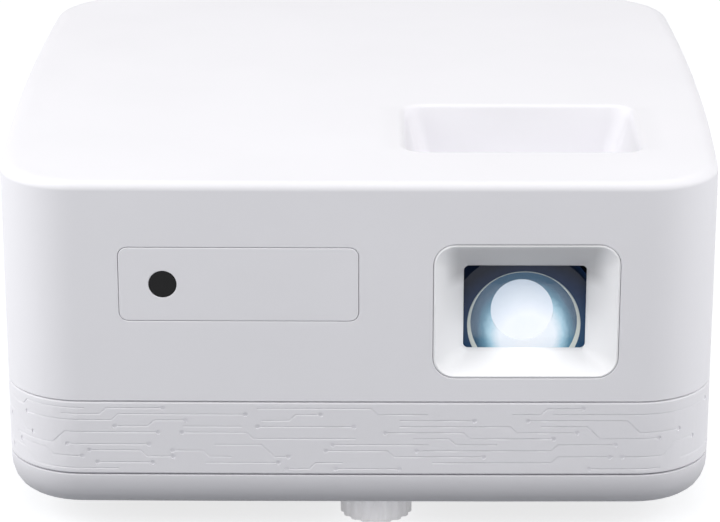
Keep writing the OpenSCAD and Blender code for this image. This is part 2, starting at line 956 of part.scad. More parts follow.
module base_tray() {
    tongue_in = wall + slide_gap;
    color(mid_grey) difference() {
        union() {
            difference() {
                skin(base_rings());
                skin([outline_ring(base_floor, wall + base_edge_x * 0.6),
                    outline_ring(base_z + base_edge_z, tongue_in + tongue_t),
                    outline_ring(seam_lo + cut, tongue_in + tongue_t)]);
            }
            outline_wall(seam_lo - 2, seam_lo + tongue_h, tongue_in, tongue_in + tongue_t);
            at_posts() boss(post_r, post_split);
            for (x = drive_boss_xs, sy = [-1, 1]) translate([x, sy * drive_boss_y, 0])
                boss(drive_boss_r, drive_z0);
            at_bolts() boss(bolt_boss_r, base_z + bolt_depth + bolt_boss_cap);
            translate([foot_x, foot_cy, 0]) boss(nut_r + nut_boss_wall, nut_z1);
            boss(insert_r + insert_boss_wall, base_z + insert_h + 2);
        }
        at_posts() under_hole(case_screw_r + 2 * slide_gap, post_split + cut);
        at_posts() under_hole(case_screw_head_r + fit_gap, base_z + head_sink + case_screw_head_h);
        at_bolts() under_hole(bolt_r, base_z + bolt_depth);
        translate([foot_x, foot_cy, 0]) under_hole(screw_r + 0.5, nut_z0 + cut);
        translate([foot_x, foot_cy, nut_z0]) cylinder(r = nut_r + run_gap, h = nut_z1);
        under_hole(insert_r + run_gap, base_z + insert_h);
        at_rear_feet() under_hole(rear_foot_r + slide_gap, base_z + foot_sink);
        speaker_slots();
    }
}

// A round boss that stands in the base's floor, up to a height
module boss(r, top) {
    translate([0, 0, base_z + boss_root]) cylinder(r = r, h = top - base_z - boss_root);
}

// A round hole from under the base, up to a height
module under_hole(r, top) {
    translate([0, 0, base_z - cut]) cylinder(r = r, h = top - base_z + cut);
}

// Places of the bolts for a ceiling plate
module at_bolts() {
    for (sx = [-1, 1], sy = [-1, 1]) translate([sx * bolt_x, sy * bolt_y, 0]) children();
}

// Places of the rear feet
module at_rear_feet() {
    for (sx = [-1, 1]) translate([sx * rear_foot_x, rear_y - rear_foot_y, 0]) children();
}

module sensor_panel() {
    color(pale_grey) difference() {
        union() {
            intersection() {
                front_bar(panel_x, panel_z, panel_w - 2 * inlay_gap, panel_h - 2 * inlay_gap,
                    panel_r - inlay_gap,
                    front_y - cut, -flange_y + flange_t);
                outline_block(panel_z - panel_h, panel_z + panel_h);
            }
            front_bar(panel_x, panel_z, panel_w + 2 * flange_out, panel_h + 2 * flange_out, panel_r,
                -flange_y, -flange_y + flange_t);
        }
        rod_y(sensor_x, panel_z, sensor_r + run_gap, front_y - cut, -flange_y + flange_t + cut);
    }
}

module sensor_window() {
    color(black_plastic) intersection() {
        rod_y(sensor_x, panel_z, sensor_r, front_y - cut, -flange_y + flange_t);
        outline_block(panel_z - panel_h, panel_z + panel_h, slide_gap);
    }
}

module ir_receiver() {
    y0 = -flange_y + flange_t;
    y1 = y0 + receiver_t;
    half = receiver_size / 2;
    reach_x = receiver_board_w / 2;
    reach_z = receiver_board_h / 2;
    color(black_plastic) box([sensor_x - half, y0, panel_z - half], [sensor_x + half, y1, panel_z + half]);
    color(board_green)
        box([sensor_x - reach_x, y1, panel_z - reach_z],
            [sensor_x + reach_x, y1 + board_t, panel_z + reach_z]);
}

// Straight funnel from the rim of the bezel to its window
module bezel_funnel() {
    rings = [
        [for (p = round_rect(window_w, window_h, window_r)) [p[0], bezel_floor_y + run_gap, window_z + p[1]]],
        [for (p = round_rect(bezel_w - 2 * bezel_lip, bezel_h - 2 * bezel_lip, bezel_r - bezel_lip))
            [p[0], front_y - run_gap, bezel_z + p[1]]]
    ];
    translate([lens_x, 0, 0]) skin(rings);
}

module lens_bezel() {
    color(white_shell) difference() {
        union() {
            intersection() {
                front_bar(lens_x, bezel_z, bezel_w - 2 * inlay_gap, bezel_h - 2 * inlay_gap,
                    bezel_r - inlay_gap,
                    front_y - cut, bezel_floor_y + bezel_plate);
                outline_block(bezel_z - bezel_h, bezel_z + bezel_h);
            }
            front_bar(lens_x, bezel_z, bezel_w + 2 * flange_out, bezel_h + 2 * flange_out, bezel_r,
                -flange_y, -flange_y + flange_t);
        }
        bezel_funnel();
        front_bar(lens_x, window_z, window_w, window_h, window_r, front_y - cut,
            bezel_floor_y + bezel_plate + cut);
    }
}

module io_panel() {
    color(black_plastic) difference() {
        union() {
            intersection() {
                front_bar(io_x, io_z, io_w - 2 * inlay_gap, io_h - 2 * inlay_gap, panel_r - inlay_gap,
                    flange_y - flange_t, rear_y + cut);
                outline_block(io_z - io_h, io_z + io_h, 0.2);
            }
            front_bar(io_x, io_z, io_w + 2 * flange_out, io_h + 2 * flange_out, panel_r,
                flange_y - flange_t, flange_y);
        }
        for (x = hdmi_xs) port_hole(x, hdmi_w, hdmi_h);
        port_hole(usb_x, usb_w, usb_h);
        port_hole(dc_x, dc_w, dc_h);
        rod_y(audio_x, board_top + audio_z, audio_r + fit_gap, flange_y - flange_t - cut, rear_y + cut);
        for (i = [0 : 2])
            rod_y(key_xs[i], key_z, key_r(i) + fit_gap, flange_y - flange_t - cut, rear_y + cut);
    }
}

// A clear hole in the port panel round a port that stands on the main board
module port_hole(x, w, h) {
    front_bar(x, board_top + h / 2, w + 2 * fit_gap, h + 2 * fit_gap, 0.5, flange_y - flange_t - cut,
        rear_y + cut);
}

module case_screws() {
    color(steel) at_posts() translate([0, 0, base_z + head_sink]) {
        cylinder(r = case_screw_head_r, h = case_screw_head_h);
        cylinder(r = case_screw_r, h = case_screw_l);
    }
}

module rear_feet() {
    color(rubber_grey) at_rear_feet()
        cylinder(r1 = rear_foot_r - foot_taper, r2 = rear_foot_r, h = base_z + foot_sink);
}

module tripod_insert() {
    color(brass) translate([0, 0, base_z]) difference() {
        cylinder(r = insert_r, h = insert_h);
        translate([0, 0, -cut]) cylinder(r = tripod_r, h = tripod_depth + cut);
    }
}

// -------------------------------- front foot

module foot_nut() {
    color(brass) difference() {
        translate([foot_x, foot_cy, nut_z0]) cylinder(r = nut_r, h = nut_z1 - nut_z0);
        translate([foot_x, foot_cy, nut_z0 - cut]) cylinder(r = screw_r + run_gap, h = nut_z1);
    }
}

module foot_pad() {
    color(rubber_grey) translate([foot_x, foot_cy, 0]) {
        cylinder(r = pad_r, h = pad_t);
        cylinder(r = pin_r, h = screw_foot - 3 * fit_gap);
    }
}

module foot_knob() {
    color(white_shell) translate([foot_x, foot_cy, 0]) difference() {
        translate([0, 0, knob_z0]) cylinder(r = foot_r, h = knob_z1 - knob_z0);
        translate([0, 0, -cut]) cylinder(r = pad_r + fit_gap, h = pad_t + fit_gap + cut);
        cylinder(r = pin_r + run_gap, h = screw_foot - 2 * fit_gap);
        translate([0, 0, screw_foot]) cylinder(r = screw_r + run_gap, h = base_z);
        for (i = [0 : flute_count - 1])
            rotate([0, 0, i * 360 / flute_count]) translate([foot_r + flute_out, 0, -cut])
                cylinder(r = flute_r, h = base_z + cut);
    }
}

module foot_screw() {
    color(steel) translate([foot_x, foot_cy, screw_foot]) cylinder(r = screw_r, h = screw_top - screw_foot);
}

// -------------------------------- speaker

module speaker_box() {
    x = speaker_w / 2;
    y = speaker_l / 2;
    in = speaker_wall;
    color(black_plastic) translate([speaker_x, speaker_y, base_floor]) difference() {
        box([-x, -y, 0], [x, y, speaker_h]);
        box([-x + in, -y + in, speaker_floor], [x - in, y - in, speaker_h - in]);
        translate([0, 0, -cut]) cylinder(r = cone_r + slide_gap, h = speaker_floor + 2 * cut);
    }
}

module speaker_cone() {
    surround_top = surround_z + surround_t;
    dish_r = cone_r - surround_w;
    color(rubber_grey) translate([speaker_x, speaker_y, base_floor]) rotate_extrude() polygon([
        [0, cone_dip_z], [cone_dip_r, cone_dip_z], [dish_r, surround_z], [cone_r, surround_z],
        [cone_r, surround_top], [dish_r, surround_top], [magnet_r, magnet_z], [magnet_r, magnet_top],
        [0, magnet_top]]);
}

// -------------------------------- lens

// Profile points of a domed end: from the edge in to the axis
function dome(r, at, rise, steps = 8) =
    let (ball = (r * r + rise * rise) / (2 * abs(rise)), turn = asin(r / ball), sign = rise < 0 ? -1 : 1)
    [for (i = [0 : steps]) let (a = turn * (1 - i / steps)) [ball * sin(a),
        at + rise - sign * ball * (1 - cos(a))]];

// A glass lens along Y: rim from y0 to y1, with a dome at each end
module glass_y(x, z, r, y0, y1, front_rise, rear_rise) {
    edge = y1 - y0;
    rear_points = dome(r, 0, -rear_rise);
    front_points = dome(r, edge, front_rise);
    color(glass_blue) translate([x, y1, z]) rotate([90, 0, 0]) rotate_extrude()
        polygon(concat([for (i = [len(rear_points) - 1 : -1 : 0]) rear_points[i]], front_points));
}

module front_lens() {
    y0 = cell_y0 + cell_lip;
    glass_y(lens_x, lens_z, front_lens_r, y0 + fit_gap, y0 + front_lens_t, front_lens_rise, front_lens_dip);
}

module inner_lens() {
    glass_y(lens_x, lens_z, inner_lens_r, cell_seat_y0 + inner_lens_in, cell_seat_y1 - inner_lens_in,
        inner_lens_rise, inner_lens_dip);
}

module lens_cell() {
    color(black_plastic) difference() {
        rod_y(lens_x, lens_z, cell_r, cell_y0, cell_y1);
        rod_y(lens_x, lens_z, glass_r, cell_y0 - cut, cell_y0 + cell_lip + cut);
        rod_y(lens_x, lens_z, front_lens_r + run_gap, cell_y0 + cell_lip, cell_seat_y0);
        rod_y(lens_x, lens_z, inner_lens_r + run_gap, cell_seat_y0 - cut, cell_seat_y1 + cut);
        rod_y(lens_x, lens_z, front_lens_r + run_gap, cell_seat_y1, cell_y1 + cut);
    }
}

module lens_barrel() {
    rib_r = barrel_r + barrel_rib_out;
    plate_h = 2 * min(lens_z - engine_z0, barrel_r) - 2 * barrel_plate_in;
    color(black_plastic) difference() {
        union() {
            rod_y(lens_x, lens_z, barrel_r, barrel_y0, barrel_y1);
            rod_y(lens_x, lens_z, rib_r, ring_y0 - fit_gap - barrel_rib_w, ring_y0 - fit_gap);
            rod_y(lens_x, lens_z, rib_r, ring_y1 + fit_gap, ring_y1 + fit_gap + barrel_rib_w);
            front_bar(lens_x, lens_z, 2 * (barrel_r + barrel_plate_out), plate_h, barrel_plate_out,
                barrel_y1 - barrel_plate_t, barrel_y1);
        }
        rod_y(lens_x, lens_z, cell_r + slide_gap, barrel_y0 - cut, barrel_y1 - rear_seat_l);
        rod_y(lens_x, lens_z, rear_lens_r + run_gap, barrel_y1 - rear_seat_l - cut, barrel_y1 + cut);
    }
}

module focus_ring() {
    color(black_plastic) difference() {
        rod_y(lens_x, lens_z, ring_r, ring_y0, ring_y1);
        rod_y(lens_x, lens_z, barrel_r + run_gap, ring_y0 - cut, ring_y1 + cut);
        tube_y(lens_x, lens_z, ring_r - ring_tread, barrel_r + ring_hub, ring_y0 + ring_web, ring_y1 + cut);
        for (i = [0 : grip_count - 1])
            translate([lens_x, ring_y0 - cut, lens_z]) rotate([0, i * 360 / grip_count, 0])
                translate([-grip_w / 2, 0, ring_r - grip_depth])
                    cube([grip_w, ring_w + 2 * cut, grip_depth + cut]);
    }
}

// -------------------------------- optical engine

module engine_housing() {
    x0 = engine_x0;
    y0 = engine_y0;
    stand = stand_w / 2;
    color(mid_grey) difference() {
        union() {
            difference() {
                box([x0, y0, engine_z0], [engine_x1, engine_y1, engine_z1]);
                box([x0 + engine_wall, y0 + engine_wall, engine_floor],
                    [engine_x1 - engine_wall, engine_y1 - engine_wall, engine_z1 + cut]);
            }
            box([lens_x - stand, prism_y0 + stand_in, engine_floor - cradle_root],
                [lens_x + stand, prism_y1 - stand_in, lens_z - prism_size / 2]);
            for (x = led_xs) cradle(x, collimator_y, collimator_r);
            cradle(collimator_x, lamp_y, collimator_r);
            cradle(mirror_x, field_y, field_r);
            cradle(mirror_x + relay_out, prism_y0 + prism_size / 2, relay_r);
        }
        rod_y(lens_x, lens_z, rear_lens_r, y0 - cut, y0 + engine_wall + cut);
        for (x = led_xs) rod_y(x, optic_z, led_hole_r, engine_y1 - engine_wall - cut, engine_y1 + cut);
        rod_x(lamp_y, optic_z, led_hole_r, engine_x1 - engine_wall - cut, engine_x1 + cut);
    }
}

// A post on the engine's floor, just under a round lens
module cradle(x, y, r) {
    half = cradle_w / 2;
    box([x - half, y - half, engine_floor - cradle_root], [x + half, y + half, optic_z - r - slide_gap]);
}

module engine_lid() {
    color(mid_grey) {
        box([engine_x0, engine_y0, engine_z1], [engine_x1, engine_y1, engine_z1 + lid_t]);
        for (x = [engine_x0 + lid_screw_in, engine_x1 - lid_screw_in],
            y = [engine_y0 + lid_screw_in, engine_y1 - lid_screw_in])
            translate([x, y, engine_z1 + lid_t]) cylinder(r = lid_screw_r, h = lid_screw_h);
    }
}

module prism() {
    half = prism_size / 2;
    edge = half - prism_slit;
    color(glass_blue) translate([lens_x, prism_y0 + half, lens_z - half]) {
        linear_extrude(prism_size) polygon([[-half, -edge], [-half, half], [edge, half]]);
        linear_extrude(prism_size) polygon([[-edge, -half], [half, -half], [half, edge]]);
    }
}

// The imager chip behind the prism, on its own board
module imager() {
    y0 = prism_y1 + chip_gap;
    y1 = y0 + chip_t;
    x = chip_w / 2;
    z = chip_h / 2;
    board_x = imager_board_w / 2;
    color(black_plastic) box([lens_x - x, y0, lens_z - z], [lens_x + x, y1, lens_z + z]);
    color(board_green)
        box([lens_x - board_x, y1, engine_floor], [lens_x + board_x, y1 + board_t, lens_z + imager_board_up]);
}

// An upright plate on the engine's floor, turned by half a right angle
module upright_plate(x, y, l, t, h, turn) {
    translate([x, y, engine_floor]) rotate([0, 0, turn]) translate([-l / 2, -t / 2, 0]) cube([l, t, h]);
}

module fold_mirrors() {
    color(steel) {
        upright_plate(mirror_x - 1, lamp_y + 1, mirror_l, mirror_t, mirror_h, 45);
        upright_plate(mirror_x - 1, prism_y0 + prism_size / 2 - 1, mirror_l, mirror_t, mirror_h, -45);
    }
}

module dichroic_plates() {
    for (i = [0 : len(led_xs) - 1])
        color(i == 0 ? [0.5, 0.7, 0.9, 0.6] : [0.9, 0.6, 0.4, 0.6])
            upright_plate(led_xs[i], lamp_y, mirror_l, dichroic_t, dichroic_h, 45);
}

// The lenses in and behind the housing, each with its flat rim upright
module engine_lenses() {
    rear_y0 = barrel_y1 - rear_lens_in - rear_lens_t;
    glass_y(lens_x, lens_z, rear_lens_r, rear_y0, rear_y0 + rear_lens_t, rear_lens_rise, rear_lens_dip);
    for (x = led_xs)
        glass_y(x, optic_z, collimator_r, collimator_y - collimator_t / 2,
            collimator_y + collimator_t / 2, 2, 0.6);
    glass_y(mirror_x, optic_z, field_r, field_y - field_t / 2, field_y + field_t / 2, 1.5, 1.5);
    glass_x(collimator_x, lamp_y, optic_z, collimator_r, collimator_t);
    glass_x(mirror_x + relay_out, prism_y0 + prism_size / 2, optic_z, relay_r, relay_t);
}

// A lens along X that bulges to both sides, centred at a point
module glass_x(x, y, z, r, edge) {
    rim = dome(r, edge / 2, 1);
    color(glass_blue) translate([x, y, z]) rotate([0, 90, 0]) rotate_extrude()
        polygon(concat([for (i = [len(rim) - 1 : -1 : 0]) [rim[i][0], -rim[i][1]]], rim));
}

module led_boards() {
    half = led_side / 2;
    for (x = led_xs) {
        color(copper) box([x - half, engine_y1, optic_z - half],
            [x + half, engine_y1 + board_t, optic_z + half]);
        color(led_yellow) rod_y(x, optic_z, led_r, engine_y1 - engine_wall, engine_y1);
    }
    color(copper)
        box([engine_x1, lamp_y - half, optic_z - half], [engine_x1 + board_t, lamp_y + half, optic_z + half]);
    color(led_yellow) rod_x(lamp_y, optic_z, led_r, engine_x1 - engine_wall, engine_x1);
}

module sink_base() {
    color(steel) box([sink_x0, sink_y0, frame_top], [sink_x0 + sink_w, fin_y0, sink_z1]);
}

module sink_fins() {
    count = floor((sink_w - fin_t) / fin_pitch);
    color(steel) difference() {
        for (i = [0 : count])
            box([sink_x0 + i * fin_pitch, fin_y0, frame_top],
                [sink_x0 + i * fin_pitch + fin_t, sink_y1, sink_z1]);
        for (z = pipe_zs) rod_x(pipe_y, z, pipe_r + run_gap, sink_x0 - cut, sink_x0 + sink_w + cut);
    }
}

module heat_pipes() {
    half = pipe_plate_side / 2;
    plate_x = engine_x1 + board_t;
    color(copper) {
        box([plate_x, lamp_y - half, optic_z - half], [plate_x + pipe_plate, lamp_y + half, optic_z + half]);
        for (z = pipe_zs) {
            rod_y(pipe_x, z, pipe_r, lamp_y - pipe_start, pipe_y - pipe_bend);
            translate([pipe_x - pipe_bend, pipe_y - pipe_bend, z]) rotate_extrude(angle = 90)
                translate([pipe_bend, 0]) circle(r = pipe_r);
            rod_x(pipe_y, z, pipe_r, sink_x0 + pipe_end, pipe_x - pipe_bend);
        }
    }
}

// -------------------------------- fans

// A square fan frame on the Z axis; its air leaves upwards, where the motor sits on its arms
module fan_frame(size, depth, hub_r) {
    half = size / 2;
    hole_at = half - fan_boss_in;
    bore_r = half - fan_hole_gap;
    arm_z = depth / 2 - fan_plate_t;
    difference() {
        translate([0, 0, -depth / 2]) linear_extrude(depth) polygon(round_rect(size, size, fan_corner_r));
        translate([0, 0, -depth / 2 - cut]) cylinder(r = bore_r, h = depth + 2 * cut);
        for (sx = [-1, 1], sy = [-1, 1])
            translate([sx * hole_at, sy * hole_at, -depth / 2 - cut])
                cylinder(r = fan_hole_r, h = depth + 2 * cut);
    }
    translate([0, 0, arm_z]) cylinder(r = hub_r - 1, h = fan_plate_t);
    translate([0, 0, fan_shaft_in - depth / 2]) cylinder(r = fan_shaft_r, h = depth - fan_shaft_in - 1);
    for (i = [0 : 3])
        rotate([0, 0, fan_arm_turn + i * 90]) translate([hub_r - 2, -fan_arm_w / 2, arm_z])
            cube([bore_r - hub_r + 2.6, fan_arm_w, fan_plate_t]);
}

// The rotor of such a fan: a cup on the shaft with tilted blades
module fan_rotor(size, depth, hub_r, blades) {
    tip_r = size / 2 - fan_hole_gap - fan_tip_gap - fan_tip_in;
    low = fan_end_gap - depth / 2;
    high = depth / 2 - fan_plate_t - 0.6 * fan_end_gap;
    chord = (high - low) * 1.05;
    root_r = hub_r - blade_root;
    difference() {
        union() {
            translate([0, 0, low]) cylinder(r = hub_r, h = high - low);
            for (i = [0 : blades - 1])
                rotate([0, 0, i * 360 / blades]) translate([root_r, 0, (low + high) / 2])
                    rotate([blade_turn, 0, 0])
                    translate([0, -blade_t / 2, -chord / 2]) cube([tip_r - root_r - 0.4, blade_t, chord]);
        }
        translate([0, 0, fan_shaft_in - depth / 2 - 0.4]) cylinder(r = fan_shaft_r + run_gap, h = depth);
        translate([0, 0, low + hub_floor]) difference() {
            cylinder(r = hub_r - hub_skin, h = depth);
            translate([0, 0, -cut]) cylinder(r = hub_core_r, h = depth + 2 * cut);
        }
    }
}

// Placing of the exhaust fan, with its air leaving to the rear
module at_exhaust() {
    translate([lens_x, exhaust_y1 - exhaust_depth / 2, exhaust_z]) rotate([-90, 0, 0]) children();
}

// Placing of the intake fan, with its air coming in from the left
module at_intake() {
    translate([intake_x0 + intake_depth / 2, intake_y, intake_z]) rotate([0, 90, 0]) children();
}

module exhaust_fan_frame() {
    color(black_plastic) at_exhaust() fan_frame(exhaust_size, exhaust_depth, exhaust_hub_r);
}

module exhaust_fan_rotor() {
    color(rubber_grey) at_exhaust() fan_rotor(exhaust_size, exhaust_depth, exhaust_hub_r, exhaust_blades);
}

module intake_fan_frame() {
    color(black_plastic) at_intake() fan_frame(intake_size, intake_depth, intake_hub_r);
}

module intake_fan_rotor() {
    color(rubber_grey) at_intake() fan_rotor(intake_size, intake_depth, intake_hub_r, intake_blades);
}

// -------------------------------- frame and boards

// A plate over the drive, cut away round the lens, with standoffs for the main board
module mid_frame() {
    cut_x = ring_r + lens_room;
    color(mid_grey) {
        difference() {
            translate([0, 0, frame_z]) linear_extrude(frame_t)
                polygon(round_rect(2 * frame_reach_x, 2 * frame_reach_y, frame_corner_r));
            box([lens_x - cut_x, -frame_reach_y - cut, frame_z - cut],
                [lens_x + cut_x, engine_y0 + cut / 2, frame_top + cut]);
        }
        for (x = [board_x0 + standoff_in, board_x1 - standoff_in],
            y = [board_y0 + standoff_back, frame_reach_y - standoff_back])
            translate([x, y, frame_top - frame_t / 2]) cylinder(r = standoff_r, h = board_up + frame_t / 2);
    }
}

// Legs round the drive and the speaker, which carry the frame
module frame_legs() {
    beside_y = drive_w / 2 + leg_r + leg_gap;
    behind_x = drive_x1 + leg_r + leg_past;
    speaker_end = speaker_l / 2 + leg_r + leg_gap;
    color(mid_grey) {
        for (x = [drive_x0 + leg_side, drive_x1 - leg_mid], sy = [-1, 1]) leg(x, sy * beside_y);
        for (y = [engine_back - leg_split, engine_back + leg_split]) leg(behind_x, y);
        for (sy = [-1, 1]) leg(frame_reach_x - leg_in, speaker_y + sy * speaker_end);
    }
}

module leg(x, y) {
    translate([x, y, base_floor]) cylinder(r = leg_r, h = frame_z - base_floor);
}

module main_board() {
    color(board_green) box([board_x0, board_y0, board_z], [board_x1, board_y1, board_top]);
}

module board_chips() {
    color(steel) board_part(shield_x, shield_y, shield_side, shield_side, shield_h);
    color(black_plastic) {
        for (i = [0 : 3]) board_part(memory_x + i * memory_pitch, memory_y, memory_w, memory_l, memory_h);
        board_part(board_x1 - board_x0 - driver_in - driver_side, driver_y, driver_side, driver_side,
            driver_h);
        for (i = [0, 1]) board_part(coil_x, coil_y + i * coil_pitch, coil_side, coil_side, coil_h);
    }
    color(can_blue)
        for (i = [0 : 4])
            translate([board_x0 + capacitor_x + i * capacitor_pitch, board_y0 + capacitor_y, board_top])
                cylinder(r = capacitor_r, h = capacitor_h);
}

// A block on the main board, placed from the board's front left corner
module board_part(x, y, w, l, h) {
    translate([board_x0 + x, board_y0 + y, board_top]) cube([w, l, h]);
}

// Straight box of a port on the main board, its mouth to the rear
module port_body(x, w, h) {
    box([x - w / 2, port_y - port_l, board_top], [x + w / 2, port_y, board_top + h]);
}

module hdmi_ports() {
    for (x = hdmi_xs) color(steel) {
        port_shell(x, hdmi_w, hdmi_h);
        port_tongue(x, hdmi_tongue_w, board_top + (hdmi_h - hdmi_tongue_t) / 2, hdmi_tongue_t);
    }
}

// The metal shell of a port, open to the rear
module port_shell(x, w, h) {
    half = w / 2 - port_skin;
    difference() {
        port_body(x, w, h);
        box([x - half, port_y - port_l + port_back, board_top + port_skin],
            [x + half, port_y + cut, board_top + h - port_skin]);
    }
}

// The contact tongue in a port
module port_tongue(x, w, z, t) {
    box([x - w / 2, port_y - port_l + port_tongue_in, z], [x + w / 2, port_y - port_tongue_in, z + t]);
}

module usb_port() {
    color(steel) {
        port_shell(usb_x, usb_w, usb_h);
        port_tongue(usb_x, usb_tongue_w, board_top + usb_h - usb_tongue_in - usb_tongue_t, usb_tongue_t);
    }
}

module dc_jack() {
    color(black_plastic) difference() {
        port_body(dc_x, dc_w, dc_h);
        rod_y(dc_x, board_top + dc_z, dc_bore_r, port_y - port_l + port_back, port_y + cut);
    }
    color(steel) rod_y(dc_x, board_top + dc_z, dc_pin_r, port_y - port_l + port_tongue_in,
        port_y - port_tongue_in);
}

module audio_jack() {
    half = audio_w / 2;
    color(black_plastic) difference() {
        union() {
            box([audio_x - half, port_y - port_l, board_top],
                [audio_x + half, flange_y - flange_t - audio_body_gap, board_top + audio_h]);
            rod_y(audio_x, board_top + audio_z, audio_r, port_y - port_l + port_back, port_y);
        }
        rod_y(audio_x, board_top + audio_z, audio_bore_r, port_y - port_l + port_back, port_y + cut);
    }
}

// Radius of each rear key: the first is the power key
function key_r(i) = i == 0 ? power_key_r : small_key_r;

// A key along Y: its cap, its collar behind the panel and its stem to the switch
module rear_key(i) {
    collar_y = flange_y - flange_t - key_collar_gap;
    stem_y = key_board_y + switch_t + key_travel + slide_gap;
    color(i == 0 ? steel : rubber_grey) {
        rod_y(key_xs[i], key_z, key_r(i), collar_y, key_y);
        rod_y(key_xs[i], key_z, key_r(i) + key_collar_w, collar_y - key_collar_t, collar_y);
        rod_y(key_xs[i], key_z, key_stem_r, stem_y, collar_y - key_collar_t);
    }
}

module key_power() {
    rear_key(0);
}

module key_source() {
    rear_key(1);
}

module key_menu() {
    rear_key(2);
}

// The board behind the keys, on tabs that stand on the main board between the ports
module key_board() {
    y0 = key_board_y - board_t;
    z0 = board_top + dc_h + key_board_tab;
    half = switch_side / 2;
    tab_xs = [(hdmi_xs[0] + hdmi_xs[1]) / 2, (hdmi_xs[1] + usb_x + (hdmi_w - usb_w) / 2) / 2];
    color(board_green) {
        box([key_xs[0] - key_board_side, y0, z0],
            [key_xs[2] + key_board_side, key_board_y, key_z + key_board_over]);
        for (x = tab_xs)
            translate([x - key_board_tab / 2, y0, board_top])
                cube([key_board_tab, board_t, dc_h + key_board_tab + 1]);
    }
    color(black_plastic)
        for (x = key_xs)
            box([x - half, key_board_y, key_z - half], [x + half, key_board_y + switch_t, key_z + half]);
}

// -------------------------------- disc drive

module drive_chassis() {
    half = drive_w / 2;
    color(steel) {
        difference() {
            box([drive_x0, -half, drive_z0], [drive_x1, half, drive_z1 - cover_sheet]);
            box([drive_x0 - cut, -half + sheet, drive_z0 + sheet], [drive_x1 - sheet, half - sheet, drive_z1]);
        }
        for (sy = [-1, 1], z = lip_zs)
            mirror_y(sy)
                box([drive_x0, half - sheet - lip_w, z], [drive_x1 - sheet / 2, half - sheet / 2, z + lip_t]);
    }
}

// Children as drawn for the rear half, or mirrored for the front half
module mirror_y(sign) {
    if (sign > 0) children();
    else mirror([0, 1, 0]) children();
}

module drive_cover() {
    half = drive_w / 2;
    color(steel) box([drive_x0, -half, drive_z1 - cover_sheet], [drive_x1, half, drive_z1]);
}

module tray_rails() {
    half = rail_h / 2;
    color(steel)
        for (sy = [-1, 1])
            mirror_y(sy) box([drive_x0 + rail_in, rail_y0, rail_z - half],
                [drive_x1 - sheet - rail_end, rail_y0 + rail_t, rail_z + half]);
}

module disc_tray() {
    sled_slot = sled_slot_w / 2;
    eject_half = rail_h / 2 + eject_room / 10;
    color(black_plastic) difference() {
        union() {
            box([bezel_in_x, -tray_y, tray_z0], [tray_x1, tray_y, tray_z1]);
            for (sy = [-1, 1], z = lip_zs)
                mirror_y(sy) box([drive_x0 + rail_in, tray_y - lip_root, z],
                    [tray_x1, tray_y + lip_w, z + lip_t]);
        }
        translate([disc_x, 0, pocket_z]) cylinder(r = disc_r + pocket_gap, h = drive_t);
        box([bezel_in_x + tray_front, tray_wall - tray_y, tray_z0 - cut],
            [tray_x1 - tray_back, tray_y - tray_wall, plate_z]);
        translate([disc_x, 0, tray_z0]) cylinder(r = turntable_r + 1, h = drive_t);
        box([disc_x + sled_slot_in, -sled_slot, tray_z0], [tray_x1 - 2, sled_slot, tray_z1 - pocket_depth]);
        box([bezel_in_x - cut, eject_y - eject_room, rail_z - eject_half],
            [bezel_in_x + 2, eject_y + eject_room, rail_z + eject_half]);
    }
    color(black_plastic)
        for (sy = [-1, 1], x = [disc_x - 8, rod_x1 - 4])
            translate([x, sy * deck_post_y, deck_z]) cylinder(r = deck_post_r, h = plate_z - deck_z + 0.2);
}

module tray_bezel() {
    color(pale_grey) difference() {
        intersection() {
            side_bar(0, (drive_z0 + drive_z1) / 2, drive_w, drive_t, tray_bezel_r, left_x - cut, bezel_in_x);
            outline_block(drive_z0 - cut, drive_z1 + cut);
        }
        side_bar(eject_y, rail_z, eject_w + 2 * eject_gap, eject_h + 2 * eject_gap, eject_h / 2,
            left_x - cut, bezel_in_x + cut);
    }
}

module eject_button() {
    bow_x = 2 * side_bow * pow((eject_y + eject_w / 2) / (body_d / 2), 2);
    collar_x = bezel_in_x + lip_gap;
    color(mid_grey) {
        side_bar(eject_y, rail_z, eject_w, eject_h, eject_h / 2 - eject_gap,
            left_x + bow_x + fit_gap, collar_x + run_gap);
        side_bar(eject_y, rail_z, eject_w + 2 * eject_collar, eject_h + 2 * eject_collar - eject_gap, 1,
            collar_x, collar_x + eject_collar_t);
    }
}

module motor_deck() {
    deck_half = deck_w / 2;
    hole_half = deck_hole_w / 2;
    color(steel) {
        difference() {
            box([disc_x - deck_in, -deck_half, tray_z0], [tray_x1 - deck_end, deck_half, deck_z]);
            box([sled_x0 - 1, -hole_half, tray_z0 - cut], [tray_x1 - deck_hole_end, hole_half, deck_z + cut]);
        }
        difference() {
            translate([disc_x, 0, deck_z - slide_gap]) cylinder(r = motor_r, h = motor_t + slide_gap);
            translate([disc_x, 0, deck_z + 0.5]) cylinder(r = spindle_r + run_gap, h = drive_t);
        }
        for (sy = [-1, 1]) {
            bearing(rod_x0 - rod_block / 4, rod_block, sy * rod_y0, rod_block, rod_r, rod_x0 - rod_block);
            bearing(rod_bearing_x, rod_block, sy * rod_y0, rod_block, rod_r, rod_bearing_x - cut);
        }
        bearing(lead_motor_x, lead_motor_l, lead_y, lead_motor_half, lead_r, lead_x0 - 2);
        bearing(rod_bearing_x, rod_block, lead_y, rod_block, lead_r, rod_bearing_x - cut);
    }
}

// A block on the deck, from x0 and l long, with the bore of a rod of radius r that starts at bore_x0
module bearing(x0, l, y, half, r, bore_x0) {
    difference() {
        box([x0, y - half, deck_z - slide_gap], [x0 + l, y + half, sled_z1]);
        rod_x(y, rod_z, r + run_gap, bore_x0, x0 + l + cut);
    }
}

